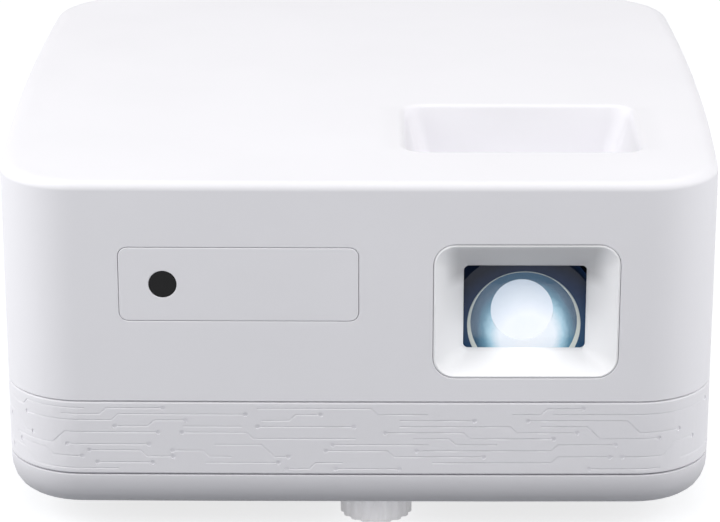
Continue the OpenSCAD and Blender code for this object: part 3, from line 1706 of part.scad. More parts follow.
module spindle_hub() {
    table_z = deck_z + turntable_in;
    color(black_plastic) translate([disc_x, 0, 0]) {
        translate([0, 0, deck_z + spindle_in]) cylinder(r = spindle_r, h = spindle_l);
        translate([0, 0, table_z]) cylinder(r = turntable_r, h = pocket_z + turntable_gap - table_z);
        translate([0, 0, pocket_z]) cylinder(r = hub_r, h = hub_up);
    }
}

module laser_sled() {
    half = rod_y0 + sled_side;
    color(rubber_grey) difference() {
        union() {
            box([sled_x0, -half, sled_z0], [sled_x0 + sled_l, half, sled_z1]);
            box([sled_x0, rod_y0, sled_z0], [sled_x0 + sled_nut, lead_y - lead_r - slide_gap, sled_z1]);
        }
        for (sy = [-1, 1]) rod_x(sy * rod_y0, rod_z, rod_r + run_gap, sled_x0 - cut, sled_x0 + sled_l + cut);
    }
    color(glass_blue) translate([sled_x0 + sled_lens, 0, sled_z1]) cylinder(r = sled_lens_r, h = sled_lens_h);
}

module guide_rods() {
    for (sy = [-1, 1]) color(steel) rod_x(sy * rod_y0, rod_z, rod_r, rod_x0 - rod_over, rod_x1 + rod_over);
}

module lead_screw() {
    color(steel) rod_x(lead_y, rod_z, lead_r, lead_x0 - lead_tail, rod_x1 + rod_over);
}

top_cover();
mid_band();
base_tray();
sensor_panel();
sensor_window();
ir_receiver();
lens_bezel();
io_panel();
case_screws();
rear_feet();
foot_nut();
tripod_insert();
speaker_box();
speaker_cone();
foot_pad();
foot_knob();
foot_screw();
lens_barrel();
focus_ring();
lens_cell();
front_lens();
inner_lens();
engine_housing();
engine_lid();
prism();
imager();
fold_mirrors();
dichroic_plates();
engine_lenses();
led_boards();
sink_base();
sink_fins();
heat_pipes();
exhaust_fan_frame();
exhaust_fan_rotor();
intake_fan_frame();
intake_fan_rotor();
mid_frame();
frame_legs();
main_board();
board_chips();
hdmi_ports();
usb_port();
dc_jack();
audio_jack();
key_board();
key_power();
key_source();
key_menu();
drive_chassis();
drive_cover();
tray_rails();
disc_tray();
tray_bezel();
eject_button();
motor_deck();
spindle_hub();
laser_sled();
guide_rods();
lead_screw();
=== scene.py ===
# %% [markdown]
# # A compact projector with a disc drive, dressed in Blender
#
# The construction of this projector comes packed as a fixed frame: every shell, lens, fan and
# tray is already a solid at its real size. This lesson builds the looks around that frame. The
# pieces that show get smooth, softly rounded meshes in the same places, and everything gets a
# procedural finish.
#
# All lengths are in metres. X runs to the right seen from the front, Y from the front to the
# rear, Z is up.

# %% Load the frame
import json
import math
import random

import bmesh
import bpy
from mathutils import Matrix, Vector


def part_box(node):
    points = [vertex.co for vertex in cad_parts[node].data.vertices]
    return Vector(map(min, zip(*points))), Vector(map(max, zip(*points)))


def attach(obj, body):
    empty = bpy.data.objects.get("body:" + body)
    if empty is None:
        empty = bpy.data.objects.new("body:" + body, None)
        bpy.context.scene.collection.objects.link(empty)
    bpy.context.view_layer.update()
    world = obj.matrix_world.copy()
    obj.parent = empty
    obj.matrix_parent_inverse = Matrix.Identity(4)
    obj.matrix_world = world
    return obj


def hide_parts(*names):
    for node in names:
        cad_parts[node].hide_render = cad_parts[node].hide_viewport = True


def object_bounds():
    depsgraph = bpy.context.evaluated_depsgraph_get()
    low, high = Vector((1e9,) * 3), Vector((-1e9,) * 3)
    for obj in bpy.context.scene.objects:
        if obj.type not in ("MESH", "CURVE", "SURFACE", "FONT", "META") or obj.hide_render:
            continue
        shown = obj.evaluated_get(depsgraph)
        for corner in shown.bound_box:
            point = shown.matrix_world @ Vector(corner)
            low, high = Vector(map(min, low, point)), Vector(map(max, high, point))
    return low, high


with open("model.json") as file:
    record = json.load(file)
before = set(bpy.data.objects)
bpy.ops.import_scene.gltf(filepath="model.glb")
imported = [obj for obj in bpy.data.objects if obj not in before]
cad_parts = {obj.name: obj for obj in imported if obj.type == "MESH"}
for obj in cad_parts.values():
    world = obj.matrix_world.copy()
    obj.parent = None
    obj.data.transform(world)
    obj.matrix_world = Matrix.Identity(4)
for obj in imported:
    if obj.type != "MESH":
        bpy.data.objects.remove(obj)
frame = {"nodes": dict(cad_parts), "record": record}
cad_low, cad_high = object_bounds()
MM = 0.001
print("size in mm:", [round(c / MM, 1) for c in cad_high - cad_low])

# %% [markdown]
# ## The camera
#
# The photograph looks at the front from a little above, through a long lens. A long lens keeps
# the verticals nearly parallel. Its pitch, turn and distance come from fitting the body's
# outline to the picture. Blender takes the focal length and the width of the sensor in
# millimetres.

# %% Camera
body_front = cad_low.y
body_top = cad_high.z
camera_pitch = math.radians(19.6885)
camera_turn = math.radians(0.3267)
camera_back = 810.10 * MM
camera_up = 266.08 * MM
camera_right = 5.06 * MM
focal_length = 147.26
sensor_width = 36.0

camera_data = bpy.data.cameras.new("camera")
camera_data.lens = focal_length
camera_data.sensor_width = sensor_width
camera_data.clip_start = 0.05
camera_data.clip_end = 30.0
camera = bpy.data.objects.new("camera", camera_data)
camera.location = (camera_right, body_front - camera_back, body_top + camera_up)
camera.rotation_euler = (math.pi / 2 - camera_pitch, 0.0, camera_turn)
bpy.context.scene.collection.objects.link(camera)
bpy.context.scene.camera = camera
bpy.context.scene.view_settings.view_transform = "Standard"
print("camera at", [round(c, 3) for c in camera.location])

# %% [markdown]
# ## Shader arithmetic
#
# A finish is a small network of nodes. Wiring them by hand hides the idea, so one class lets a
# shader value be added and multiplied like a number: each operation adds one Math node. A
# second class holds a material and adds any other node from its type, its settings and its
# inputs.

# %% Shader values and finishes
class Value:
    """A socket that carries a number which changes over the surface."""

    def __init__(self, finish, socket):
        self.finish = finish
        self.socket = socket

    def math(self, operation, *others):
        return self.finish.node("ShaderNodeMath", {"operation": operation}, [self, *others])

    def __add__(self, other):
        return self.math("ADD", other)

    def __mul__(self, other):
        return self.math("MULTIPLY", other)

    def __sub__(self, other):
        return self.math("SUBTRACT", other)

    def __rsub__(self, other):
        return (self * -1.0) + other

    __radd__ = __add__
    __rmul__ = __mul__

    def ramp(self, low, high):
        """0 below low, 1 above high, and straight between them."""
        clamp = {"clamp": True, "interpolation_type": "LINEAR"}
        return self.finish.node("ShaderNodeMapRange", clamp, [self, low, high, 0.0, 1.0])


class Finish:
    """A material with one Principled shader."""

    def __init__(self, name):
        self.material = bpy.data.materials.new(name)
        self.material.use_nodes = True
        self.tree = self.material.node_tree
        self.shader = self.tree.nodes["Principled BSDF"]
        self.place = self.node("ShaderNodeTexCoord", {}, [], "Object")

    def node(self, kind, settings, inputs, output=0):
        """Adds a node: its settings first, then its inputs by number or by name."""
        made = self.tree.nodes.new(kind)
        for name, value in settings.items():
            if name == "stops":
                self.fill_ramp(made.color_ramp, value)
            else:
                setattr(made, name, value)
        pairs = inputs.items() if isinstance(inputs, dict) else enumerate(inputs)
        for key, value in pairs:
            self.feed(made.inputs[key], value)
        return Value(self, made.outputs[output])

    def fill_ramp(self, ramp, stops):
        """Puts a list of (place, colour) on a colour ramp."""
        while len(ramp.elements) < len(stops):
            ramp.elements.new(0.5)
        for element, (place, colour) in zip(ramp.elements, stops):
            element.position = place
            element.color = colour

    def distance(self, point):
        """How far the surface is from a point."""
        settings = {"operation": "DISTANCE"}
        return self.node("ShaderNodeVectorMath", settings, [self.place, point], "Value")

    def colours(self, amount, stops):
        """A colour picked along a ramp by a number from 0 to 1."""
        return self.node("ShaderNodeValToRGB", {"stops": stops}, [amount])

    def feed(self, socket, value):
        if isinstance(value, Value):
            self.tree.links.new(value.socket, socket)
        else:
            socket.default_value = value

    def set(self, **values):
        """Sets or links sockets of the Principled shader, named in words with underscores."""
        for name, value in values.items():
            socket = name.replace("_", " ").title().replace("Ior", "IOR")
            self.feed(self.shader.inputs[socket], value)
        return self

    def noise(self, size, detail=2.0, rough=0.5, place=None):
        """Noise whose lumps are about size across."""
        inputs = {
            "Vector": place or self.place, "Scale": 1.0 / size,
            "Detail": detail, "Roughness": rough,
        }
        return self.node("ShaderNodeTexNoise", {"noise_dimensions": "3D"}, inputs)

    def blend(self, mask, first, second):
        """A colour that goes from the first to the second as mask goes from 0 to 1."""
        settings = {"data_type": "RGBA"}
        return self.node("ShaderNodeMix", settings, {0: mask, 6: first, 7: second}, 2)

    def bump(self, height, depth, strength=1.0):
        inputs = {"Height": height, "Distance": depth, "Strength": strength}
        return self.node("ShaderNodeBump", {}, inputs)


def srgb(red, green, blue):
    """A colour as it looks on screen, 0 to 255, as the linear values that a shader needs."""
    def linear(value):
        part = value / 255
        return part / 12.92 if part <= 0.04045 else ((part + 0.055) / 1.055) ** 2.4
    return (linear(red), linear(green), linear(blue), 1.0)


def shade(colour, factor):
    """A lighter or darker version of a colour."""
    return tuple(min(1.0, part * factor) for part in colour[:3]) + (1.0,)


print("shader helpers ready")

# %% [markdown]
# ## Floor, backdrop and light
#
# The photograph has a white studio background with a faint soft shadow under the object. The
# floor is a pale diffuse sheet. What the camera sees of it gets a little extra brightness
# through the Light Path node, which brings the open floor to white and leaves the shadow in
# place, with no extra light on the object itself.

# %% Floor and world
def ray_mask(finish):
    """1 for rays that look at the background, straight, in a reflection or through glass."""
    path = finish.tree.nodes.new("ShaderNodeLightPath")
    camera_ray = Value(finish, path.outputs["Is Camera Ray"])
    glossy_ray = Value(finish, path.outputs["Is Glossy Ray"])
    through_ray = Value(finish, path.outputs["Is Transmission Ray"])
    return (camera_ray + glossy_ray + through_ray).math("MINIMUM", 1.0)


floor_reach = 5.0
floor_lift = 0.76
bm = bmesh.new()
bmesh.ops.create_grid(bm, x_segments=1, y_segments=1, size=floor_reach)
floor_mesh = bpy.data.meshes.new("floor")
bm.to_mesh(floor_mesh)
bm.free()
floor = bpy.data.objects.new("floor", floor_mesh)
bpy.context.scene.collection.objects.link(floor)

floor_finish = Finish("floor_paper")
floor_finish.set(base_color=srgb(160, 162, 166), roughness=0.9, specular_ior_level=0.0)
lift = floor_finish.blend(ray_mask(floor_finish), (0.0, 0.0, 0.0, 1.0), (floor_lift,) * 3 + (1.0,))
floor_finish.set(emission_color=lift, emission_strength=1.0)
floor_mesh.materials.append(floor_finish.material)

world = bpy.data.worlds.new("studio")
bpy.context.scene.world = world
world.use_nodes = True
sky = world.node_tree.nodes
sky_links = world.node_tree.links
room_light = 0.4
path = sky.new("ShaderNodeLightPath")
seen = sky.new("ShaderNodeMath")
seen.operation = "MAXIMUM"
sky_links.new(path.outputs["Is Camera Ray"], seen.inputs[0])
sky_links.new(path.outputs["Is Transmission Ray"], seen.inputs[1])
strength = sky.new("ShaderNodeMapRange")
strength.inputs["To Min"].default_value = room_light
sky_links.new(seen.outputs[0], strength.inputs["Value"])
sky["Background"].inputs["Color"].default_value = (1.0, 1.0, 1.0, 1.0)
sky_links.new(strength.outputs["Result"], sky["Background"].inputs["Strength"])
print("floor and world ready")

# %% Studio lamps
def soft_box(name, place, aim, size, watts, tint=(1.0, 1.0, 1.0)):
    """A square area lamp that faces a point."""
    data = bpy.data.lights.new(name, "AREA")
    data.shape = "SQUARE"
    data.size = size
    data.energy = watts
    data.color = tint
    lamp = bpy.data.objects.new(name, data)
    lamp.location = place
    lamp.rotation_euler = (Vector(aim) - Vector(place)).to_track_quat("-Z", "Y").to_euler()
    bpy.context.scene.collection.objects.link(lamp)
    return lamp


middle = (0.0, 0.0, 0.06)
soft_box("overhead", (0.0, -0.72, 1.32), middle, 1.2, 5.7)
soft_box("left_window", (-1.09, -0.25, 0.7), middle, 0.9, 10.2)
soft_box("right_window", (1.09, -0.25, 0.7), middle, 0.9, 7.6)
print("lamps ready")

# %% [markdown]
# ## Finishes
#
# Moulded plastic is never one flat colour. Its skin has a fine grain from the etched mould, the
# grain makes the gloss break up, and large faces drift a little in tone where the melt cooled
# at different speeds. One function makes all the plastics of this projector from those three
# things. Two more settings stand in for light that the three lamps don't give: shades are soft
# boxes inside which the plastic is darker, as under the roof of the bezel, and bounce is a
# faint glow, as on the foot wheel that a white table lights from below.

# %% Plastics and rubbers
def inside(finish, low, high, soft):
    """1 inside a box and 0 outside it, with soft sides."""
    mask = 1.0
    for axis in range(3):
        part = finish.node("ShaderNodeSeparateXYZ", {}, [finish.place], axis)
        past_low = part.ramp(low[axis] - soft, low[axis])
        past_high = part.ramp(high[axis], high[axis] + soft)
        mask = past_low * (1 - past_high) * mask
    return mask


plastic_gloss = 0.22


def plastic(name, colour, roughness=0.4, grain=0.35 * MM, depth=0.006 * MM, drift=0.025,
            shades=(), bounce=0.0):
    """A moulded plastic. Each of its shades is (low corner, high corner, softness, factor)."""
    finish = Finish(name)
    broad = finish.noise(55 * MM, 3.0)
    fine = finish.noise(grain, 2.0, 0.6)
    speck = finish.noise(grain * 4.0, 1.0)
    tone = finish.blend(broad, shade(colour, 1.0 - drift), shade(colour, 1.0 + drift))
    # Painted shade: inside each box the colour is darker.
    for low, high, soft, factor in shades:
        tone = finish.blend(inside(finish, low, high, soft), tone, shade(colour, factor))
    # Bounce is a painted glow, an emission in the plastic's own colour.
    finish.set(base_color=tone, emission_color=colour, emission_strength=bounce)
    finish.set(roughness=(fine - 0.5) * 0.12 + (speck - 0.5) * 0.06 + roughness)
    finish.set(normal=finish.bump(fine + speck * 0.5, depth, 0.6))
    finish.set(specular_ior_level=plastic_gloss)
    return finish.material


lens_low, lens_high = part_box("front_lens")
lens_axis = (lens_low + lens_high) / 2
case_low, case_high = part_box("top_cover")
front_y = case_low.y
recess_x = lens_axis.x
recess_y = front_y + 55.2 * MM
recess_floor_z = case_high.z - 17 * MM
shade_half = 20 * MM
shade_soft = 4 * MM
# Painted shade: inside these boxes the side walls of the finger recess are darker.
recess_wall_painted_shade = [
    ((recess_x + first * MM, recess_y - shade_half, recess_floor_z - 4 * MM),
     (recess_x + last * MM, recess_y + shade_half, case_high.z - 3.5 * MM), shade_soft, factor)
    for first, last, factor in ((-40, -31.5, 0.86), (31.5, 40, 0.84))
]
# Painted shade under the roof of the bezel's funnel, which faces down.
roof_low_z, roof_high_z = 81.5 * MM, 94 * MM
bezel_roof_painted_shade = (
    (recess_x - shade_half, front_y + 1.5 * MM, roof_low_z),
    (recess_x + shade_half, front_y + 14 * MM, roof_high_z), shade_soft, 0.69)
# The shell carries the painted shade of the recess walls.
shell_white = plastic("shell_white", srgb(246, 245, 249), 0.5, shades=recess_wall_painted_shade)
# The bezel carries the painted shade of its roof and a faint painted glow.
bezel_white = plastic("bezel_white", srgb(247, 247, 249), 0.42, depth=0.004 * MM,
                      shades=[bezel_roof_painted_shade], bounce=0.04)
band_white = plastic("band_white", srgb(242, 241, 245), 0.5, depth=0.008 * MM)
# Painted shade: the base is darker towards its bottom edge, where it rolls under.
base_roll_painted_shade = ((-0.2, -0.2, 0.0), (0.2, 0.2, 10 * MM), 9 * MM, 0.74)
# The base is the shell's white plastic, given a darker colour as painted shade.
shaded_base_white = plastic("shaded_base_white", srgb(231, 230, 234), 0.5, shades=[base_roll_painted_shade])
panel_white = plastic("panel_white", srgb(246, 245, 249), 0.46)
# Painted glow: the foot wheel glows faintly for the light that the table bounces onto it.
knob_white = plastic("knob_white", srgb(249, 248, 250), 0.38, bounce=0.2)
button_grey = plastic("button_grey", srgb(160, 161, 165), 0.4)
port_black = plastic("port_black", srgb(38, 38, 41), 0.5, 0.6 * MM, 0.02 * MM, 0.08)
mount_black = plastic("mount_black", srgb(24, 25, 28), 0.38, drift=0.1)
moulded_black = plastic("moulded_black", srgb(30, 30, 32), 0.45, drift=0.1)
fan_grey = plastic("fan_grey", srgb(52, 52, 56), 0.4, drift=0.06)
frame_grey = plastic("frame_grey", srgb(112, 114, 118), 0.55, 0.8 * MM, 0.03 * MM, 0.05)
foot_rubber = plastic("foot_rubber", srgb(40, 40, 42), 0.8, 0.9 * MM, 0.05 * MM, 0.12)
cone_rubber = plastic("cone_rubber", srgb(30, 30, 31), 0.65, 0.5 * MM, 0.04 * MM, 0.15)
key_rubber = plastic("key_rubber", srgb(58, 59, 63), 0.6, drift=0.05)
sensor_black = plastic("sensor_black", srgb(13, 12, 14), 0.3, depth=0.0005 * MM, drift=0.2)
print("materials so far:", len(bpy.data.materials))

# %% [markdown]
# ## Metals, glass and light
#
# Metal is its reflections, so its colour stays plain and the life comes from the roughness:
# pressed steel has fine rolling lines, turned brass has rings, cast aluminium is blotchy. Noise
# that is stretched along one axis by a Mapping node draws those lines.

# %% Metals
def metal(name, colour, roughness, grain=0.5 * MM, stretch=(1.0, 1.0, 1.0), depth=0.01 * MM,
          wear=0.1):
    """A bare metal. A large stretch squeezes its grain along that axis, into lines across it."""
    finish = Finish(name)
    mapped = {"Vector": finish.place, "Scale": stretch}
    place = finish.node("ShaderNodeMapping", {"vector_type": "POINT"}, mapped)
    lines = finish.noise(grain, 3.0, 0.6, place)
    cloud = finish.noise(18 * MM, 3.0)
    finish.set(base_color=finish.blend(cloud, shade(colour, 1.0 - wear), colour), metallic=1.0)
    finish.set(roughness=(lines - 0.5) * 0.18 + (cloud - 0.5) * 0.12 + roughness)
    finish.set(normal=finish.bump(lines, depth, 0.5))
    return finish.material


steel = metal("pressed_steel", srgb(196, 198, 202), 0.34, 0.4 * MM, (1.0, 12.0, 12.0))
brass = metal("turned_brass", srgb(214, 178, 96), 0.26, 0.3 * MM, (1.0, 1.0, 14.0))
aluminium = metal("cast_aluminium", srgb(200, 202, 206), 0.42, 0.7 * MM, depth=0.04 * MM)
copper = metal("drawn_copper", srgb(206, 128, 92), 0.3, 0.4 * MM, (14.0, 1.0, 1.0), wear=0.2)
key_metal = metal("brushed_key", srgb(186, 188, 193), 0.28, 0.2 * MM, (1.0, 1.0, 16.0))
mirror = metal("front_silvered_glass", srgb(244, 245, 246), 0.08, 6 * MM,
               depth=0.0005 * MM, wear=0.03)

# %% Glass and circuit board
glass = Finish("coated_glass")
haze = glass.noise(9 * MM, 2.0)
glass.set(base_color=glass.blend(haze, srgb(236, 243, 252), srgb(248, 250, 255)))
glass.set(transmission_weight=1.0, ior=1.52, roughness=haze * 0.012, coat_weight=0.0)
lens_glass = glass.material

board = Finish("circuit_board")
cell_pitch = 5 * MM
cells = board.node("ShaderNodeTexVoronoi", {"feature": "DISTANCE_TO_EDGE"},
                   {"Vector": board.place, "Scale": 1 / cell_pitch})
tracks = cells.ramp(0.035, 0.05)
solder = board.noise(2.2 * MM, 1.0).ramp(0.66, 0.68)
mask_green = board.blend(board.noise(30 * MM), srgb(22, 84, 52), srgb(30, 100, 62))
lines_green = board.blend(tracks, srgb(60, 138, 92), mask_green)
board.set(base_color=board.blend(solder, lines_green, srgb(196, 198, 200)), metallic=solder * 0.9)
board.set(roughness=0.32 - solder * 0.08)
board.set(normal=board.bump(tracks * -1.0 + solder, 0.03 * MM, 0.6))
board_green = board.material
print("materials so far:", len(bpy.data.materials))

# %% [markdown]
# ## The lit lens
#
# The lamp is on in the photograph, so the inside of the lens glows: white low in the middle,
# pale blue round it, teal further out and deep navy in the corners of the window. Each inner
# surface gets a painted glow, an emission colour from a ramp over the distance to one bright
# point, with a little noise in the glow and the gloss so that the ramp doesn't look airbrushed.

# %% Glowing finishes
glow_point = Vector((lens_axis.x + 1.5 * MM, lens_axis.y + 9 * MM, lens_axis.z - 7 * MM))


def glowing(name, stops, reach, base, roughness, shine=0.4):
    """A finish that glows in the colours of its stops, from the bright point out to its reach."""
    finish = Finish(name)
    # Noise that breaks up the painted glow and varies the roughness.
    dust_and_glow_noise = finish.noise(1.2 * MM, 3.0)
    far = finish.distance(glow_point) * (1 / reach) + (dust_and_glow_noise - 0.5) * 0.05
    finish.set(base_color=base, roughness=(dust_and_glow_noise - 0.5) * 0.1 + roughness, specular_ior_level=shine)
    finish.set(emission_color=finish.colours(far, stops), emission_strength=1.0)
    return finish.material


white_hot = (1.0, 1.0, 1.0, 1.0)
pupil_glow = glowing("pupil_glow", [
    (0.0, white_hot), (0.38, white_hot), (0.6, srgb(228, 233, 238)),
    (0.8, srgb(202, 210, 218)), (1.0, srgb(186, 196, 206)),
], 17 * MM, srgb(80, 84, 88), 0.3, 0.2)
baffle_glow = glowing("baffle_glow", [
    (0.0, white_hot), (0.3, srgb(248, 252, 255)), (0.41, srgb(172, 208, 222)),
    (0.5, srgb(92, 136, 156)), (0.6, srgb(54, 84, 106)), (0.8, srgb(34, 56, 78)),
    (1.0, srgb(26, 44, 64)),
], 25 * MM, srgb(14, 24, 34), 0.5, 0.05)
# Painted glow: the lens cell is black plastic, and its teal and navy are the light of the lit lens
# given as emission.
cell_painted_glow = glowing("cell_painted_glow", [
    (0.0, srgb(150, 196, 214)), (0.5, srgb(74, 126, 150)), (0.66, srgb(32, 62, 92)),
    (0.85, srgb(16, 34, 62)), (1.0, srgb(8, 15, 28)),
], 30 * MM, srgb(8, 12, 22), 0.5)
# The trim ring is cream, with a painted glow of the lit lens over its colour.
cream_trim_painted_glow = glowing("cream_trim_painted_glow", [
    (0.0, srgb(180, 182, 176)), (0.6, srgb(140, 148, 150)), (1.0, srgb(70, 84, 94)),
], 26 * MM, srgb(190, 188, 176), 0.25)
print("glow centre in mm:", [round(c / MM, 1) for c in glow_point])

# %% [markdown]
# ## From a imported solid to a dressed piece
#
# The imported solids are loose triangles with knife-sharp edges. On a real moulding every edge
# has a small radius, and that radius draws the thin bright lines that the eye reads as quality.
# A copy of the solid is joined, its flat areas are made whole again, and a Bevel modifier
# rounds every edge that is sharper than an angle. A Weighted Normal modifier keeps the flat
# faces flat between the rounded edges.

# %% Dress helpers
def joined(node):
    """The node's surface as one bmesh, with flat areas made whole."""
    bm = bmesh.new()
    bm.from_mesh(frame["nodes"][node].data)
    bmesh.ops.remove_doubles(bm, verts=bm.verts, dist=0.002 * MM)
    bmesh.ops.dissolve_limit(bm, angle_limit=math.radians(0.2), verts=bm.verts, edges=bm.edges)
    return bm


def make_piece(bm, name, body, material, stands_for=(), radius=0.25 * MM, sharp=32.0,
               segments=2):
    """Turns a bmesh into a finished object that rides on a body.

    With a radius its sharp edges are rounded. With none they stay as they are and are only marked.
    """
    for face in bm.faces:
        face.smooth = True
    mesh = bpy.data.meshes.new(name)
    bm.to_mesh(mesh)
    bm.free()
    mesh.materials.append(material)
    piece = bpy.data.objects.new(name, mesh)
    bpy.context.scene.collection.objects.link(piece)
    if radius > 0:
        bevel = piece.modifiers.new("rounded_edges", "BEVEL")
        bevel.width = radius
        bevel.segments = segments
        bevel.limit_method = "ANGLE"
        bevel.angle_limit = math.radians(sharp)
        bevel.use_clamp_overlap = False
    else:
        mesh.set_sharp_from_angle(angle=math.radians(sharp))
    flat = piece.modifiers.new("flat_faces_stay_flat", "WEIGHTED_NORMAL")
    flat.mode = "FACE_AREA"
    flat.weight = 80
    flat.keep_sharp = True
    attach(piece, body)
    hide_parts(*stands_for)
    return piece


record = frame["record"]
body_of = {node: body for body, nodes in record["behaviour"]["bodies"].items() for node in nodes}
slot_of = {part["node"]: part["material_slot"] for part in record["subparts"]}
look_of = {
    "shell_white": shell_white, "bezel_white": bezel_white, "knob_white": knob_white,
    "band_grey": band_white, "panel_grey": panel_white, "base_grey": shaded_base_white,
    "button_grey": button_grey, "sensor_black": sensor_black, "io_black": port_black,
    "lens_black": mount_black, "fan_black": moulded_black, "fan_grey": fan_grey,
    "rubber_feet": foot_rubber, "rubber_cone": cone_rubber, "black_plastic": moulded_black,
    "key_metal": key_metal, "key_rubber": key_rubber, "steel": steel, "brass": brass,
    "aluminium": aluminium, "frame_grey": frame_grey, "copper": copper,
    "lens_glass": lens_glass, "mirror": mirror, "board_green": board_green,
}


def dress(node, radius=0.25 * MM, sharp=32.0, material=None):
    """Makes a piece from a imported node's own surface."""
    slot = slot_of[node]
    look = material or look_of[slot]
    name = node + "_skin"
    return make_piece(joined(node), name, body_of[node], look, (node,), radius, sharp)


for name, solid in frame["nodes"].items():
    solid.data.materials.clear()
    solid.data.materials.append(look_of[slot_of[name]])
print("finishes on", len(frame["nodes"]), "solids")

# %% [markdown]
# ## Loops and lofts
#
# Most of these pieces are a stack of closed loops with faces stretched between them: a bezel is
# rounded rectangles that shrink towards the window, a lens is circles. Making the loops and
# bridging them keeps every size readable. A rounded rectangle is a one-face grid with its four
# corners bevelled.

# %% Loop helpers
def quarter_turn(steps):
    """The angles from 0 to 90 degrees in equal steps, both ends included."""
    return [math.radians(90 / steps * step) for step in range(steps + 1)]


def rounded_rect(bm, width, height, radius, steps=8):
    """A face in the XY plane with round corners, middle at the origin. Returns its vertices."""
    made = bmesh.ops.create_grid(bm, x_segments=1, y_segments=1, size=0.5)
    bmesh.ops.scale(bm, vec=(width, height, 1.0), verts=made["verts"])
    cut = bmesh.ops.bevel(
        bm, geom=made["verts"], offset=radius, offset_type="OFFSET", affect="VERTICES",
        segments=steps, profile=0.5, material=-1)
    return list({vert for face in cut["faces"] for vert in face.verts} or set(cut["verts"]))


def upright(bm, verts, x, y, z):
    """Stands a flat loop up, so that it faces the front, and puts its middle at a point."""
    bmesh.ops.rotate(bm, cent=(0, 0, 0), matrix=Matrix.Rotation(math.pi / 2, 3, "X"), verts=verts)
    bmesh.ops.translate(bm, vec=(x, y, z), verts=verts)


def loft(bm, loops):
    """Keeps the outlines of flat faces and stretches faces between each one and the next."""
    rims = []
    for verts in loops:
        face = next(face for face in verts[0].link_faces)
        rims.append(list(face.edges))
        bmesh.ops.delete(bm, geom=[face], context="FACES_ONLY")
    for first, second in zip(rims, rims[1:]):
        bmesh.ops.bridge_loops(bm, edges=first + second)
    return rims


def cap(bm, rim):
    """Closes a rim with one face."""
    bmesh.ops.contextual_create(bm, geom=rim)


def outward(bm):
    """Welds the seams and turns every face outwards."""
    bmesh.ops.remove_doubles(bm, verts=bm.verts, dist=0.001 * MM)
    bmesh.ops.recalc_face_normals(bm, faces=bm.faces)
    return bm


def turned(profile, axis_x, axis_z, steps=96):
    """A turned part: (radius, y) points spun once round an axis that runs from front to rear."""
    bm = bmesh.new()
    verts = [bm.verts.new((axis_x + radius, y, axis_z)) for radius, y in profile]
    edges = [bm.edges.new(pair) for pair in zip(verts, verts[1:])]
    bmesh.ops.spin(
        bm, geom=verts + edges, cent=(axis_x, 0, axis_z), axis=(0, 1, 0), dvec=(0, 0, 0),
        angle=2 * math.pi, steps=steps, use_merge=True)
    return outward(bm)


# %% Bowed front
face_bow = 0.4 * MM
face_half = 82.8 * MM


def bow_at(x):
    """How far the front face has curved back at a place across it."""
    return face_bow * (x / face_half) ** 2


print("the front curves back by", round(bow_at(case_high.x) / MM, 2), "mm at the corners")

# %% [markdown]
# ## The bezel
#
# The bezel is a white funnel. A thin rim stands level with the front, a rounded lip turns
# inwards, and the four walls fall away in a gentle curve towards a sharp-cornered window that
# sits a little low. The walls start nearly flat and grow steeper, so they catch light at the
# rim and turn darker near the window.

# %% Bezel
bezel_low, bezel_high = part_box("lens_bezel")
cell_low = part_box("lens_cell")[0]
bezel_x = lens_axis.x
bezel_w = 55 * MM
bezel_h = 42 * MM
bezel_r = 6.5 * MM
bezel_z = (bezel_low.z + bezel_high.z) / 2
window_w = 36.5 * MM
window_h = 26.7 * MM
window_r = 1.6 * MM
window_z = bezel_z - 2.3 * MM
funnel_start = 0.2 * MM
funnel_deep = 10 * MM
funnel_curve = 1.15
funnel_steps = 10
smallest_r = 0.4 * MM
lip = 0.55 * MM
inlay_gap = 0.15 * MM
bezel_back_y = bezel_high.y


def bezel_loop(bm, size, y, slide=0.0):
    """A loop of the bezel, from the rim at slide 0 to the window at slide 1, shrunk by size."""
    width = bezel_w + (window_w - bezel_w) * slide - 2 * size
    height = bezel_h + (window_h - bezel_h) * slide - 2 * size
    radius = bezel_r + (window_r - bezel_r) * slide - size
    verts = rounded_rect(bm, width, height, max(radius, smallest_r), 10)
    upright(bm, verts, bezel_x, y, bezel_z + (window_z - bezel_z) * slide)
    return verts


bm = bmesh.new()
loops = [bezel_loop(bm, inlay_gap, bezel_back_y), bezel_loop(bm, inlay_gap, front_y + lip)]
for turn in quarter_turn(4)[1:]:
    size = inlay_gap + lip * (1 - math.cos(turn))
    loops.append(bezel_loop(bm, size, front_y + lip * (1 - math.sin(turn))))
for step in range(1, funnel_steps + 1):
    slide = step / funnel_steps
    size = (inlay_gap + lip) * (1 - slide)
    y = front_y + funnel_start + funnel_deep * slide ** funnel_curve
    loops.append(bezel_loop(bm, size, y, slide))
loops.append(bezel_loop(bm, 0.0, bezel_back_y, 1.0))
rims = loft(bm, loops)
bmesh.ops.bridge_loops(bm, edges=rims[-1] + rims[0])
outward(bm)
for vert in bm.verts:
    depth = (vert.co.y - front_y) / funnel_deep
    vert.co.y += bow_at(vert.co.x) * max(0.0, 1.0 - depth)
make_piece(bm, "bezel_funnel", "root", bezel_white, ("lens_bezel",), 0, 40)

# %% [markdown]
# ## The lens
#
# The front element is a thick domed glass in a black cell. A thin cream ring seals its edge.
# Behind it a dark cone narrows to the round pupil where the light comes out. All of these are
# turned parts: a profile is spun once round the lens axis, which also is how the real ones are
# made.

# %% Front glass, trim ring, baffle and pupil
glass_r = 18 * MM - 0.05 * MM
edge_y = cell_low.y + 1.7 * MM
dome_rise = edge_y - lens_low.y
dip_y = lens_high.y
rear_rise = 2 * MM
back_y = dip_y - rear_rise


def dome(radius, edge, depth, steps=14):
    """Points of a shallow round dome from its edge to its middle."""
    turns = [math.pi / 2 * step / steps for step in range(steps + 1)]
    return [(radius * math.cos(turn), edge - depth * math.sin(turn) ** 2) for turn in turns]


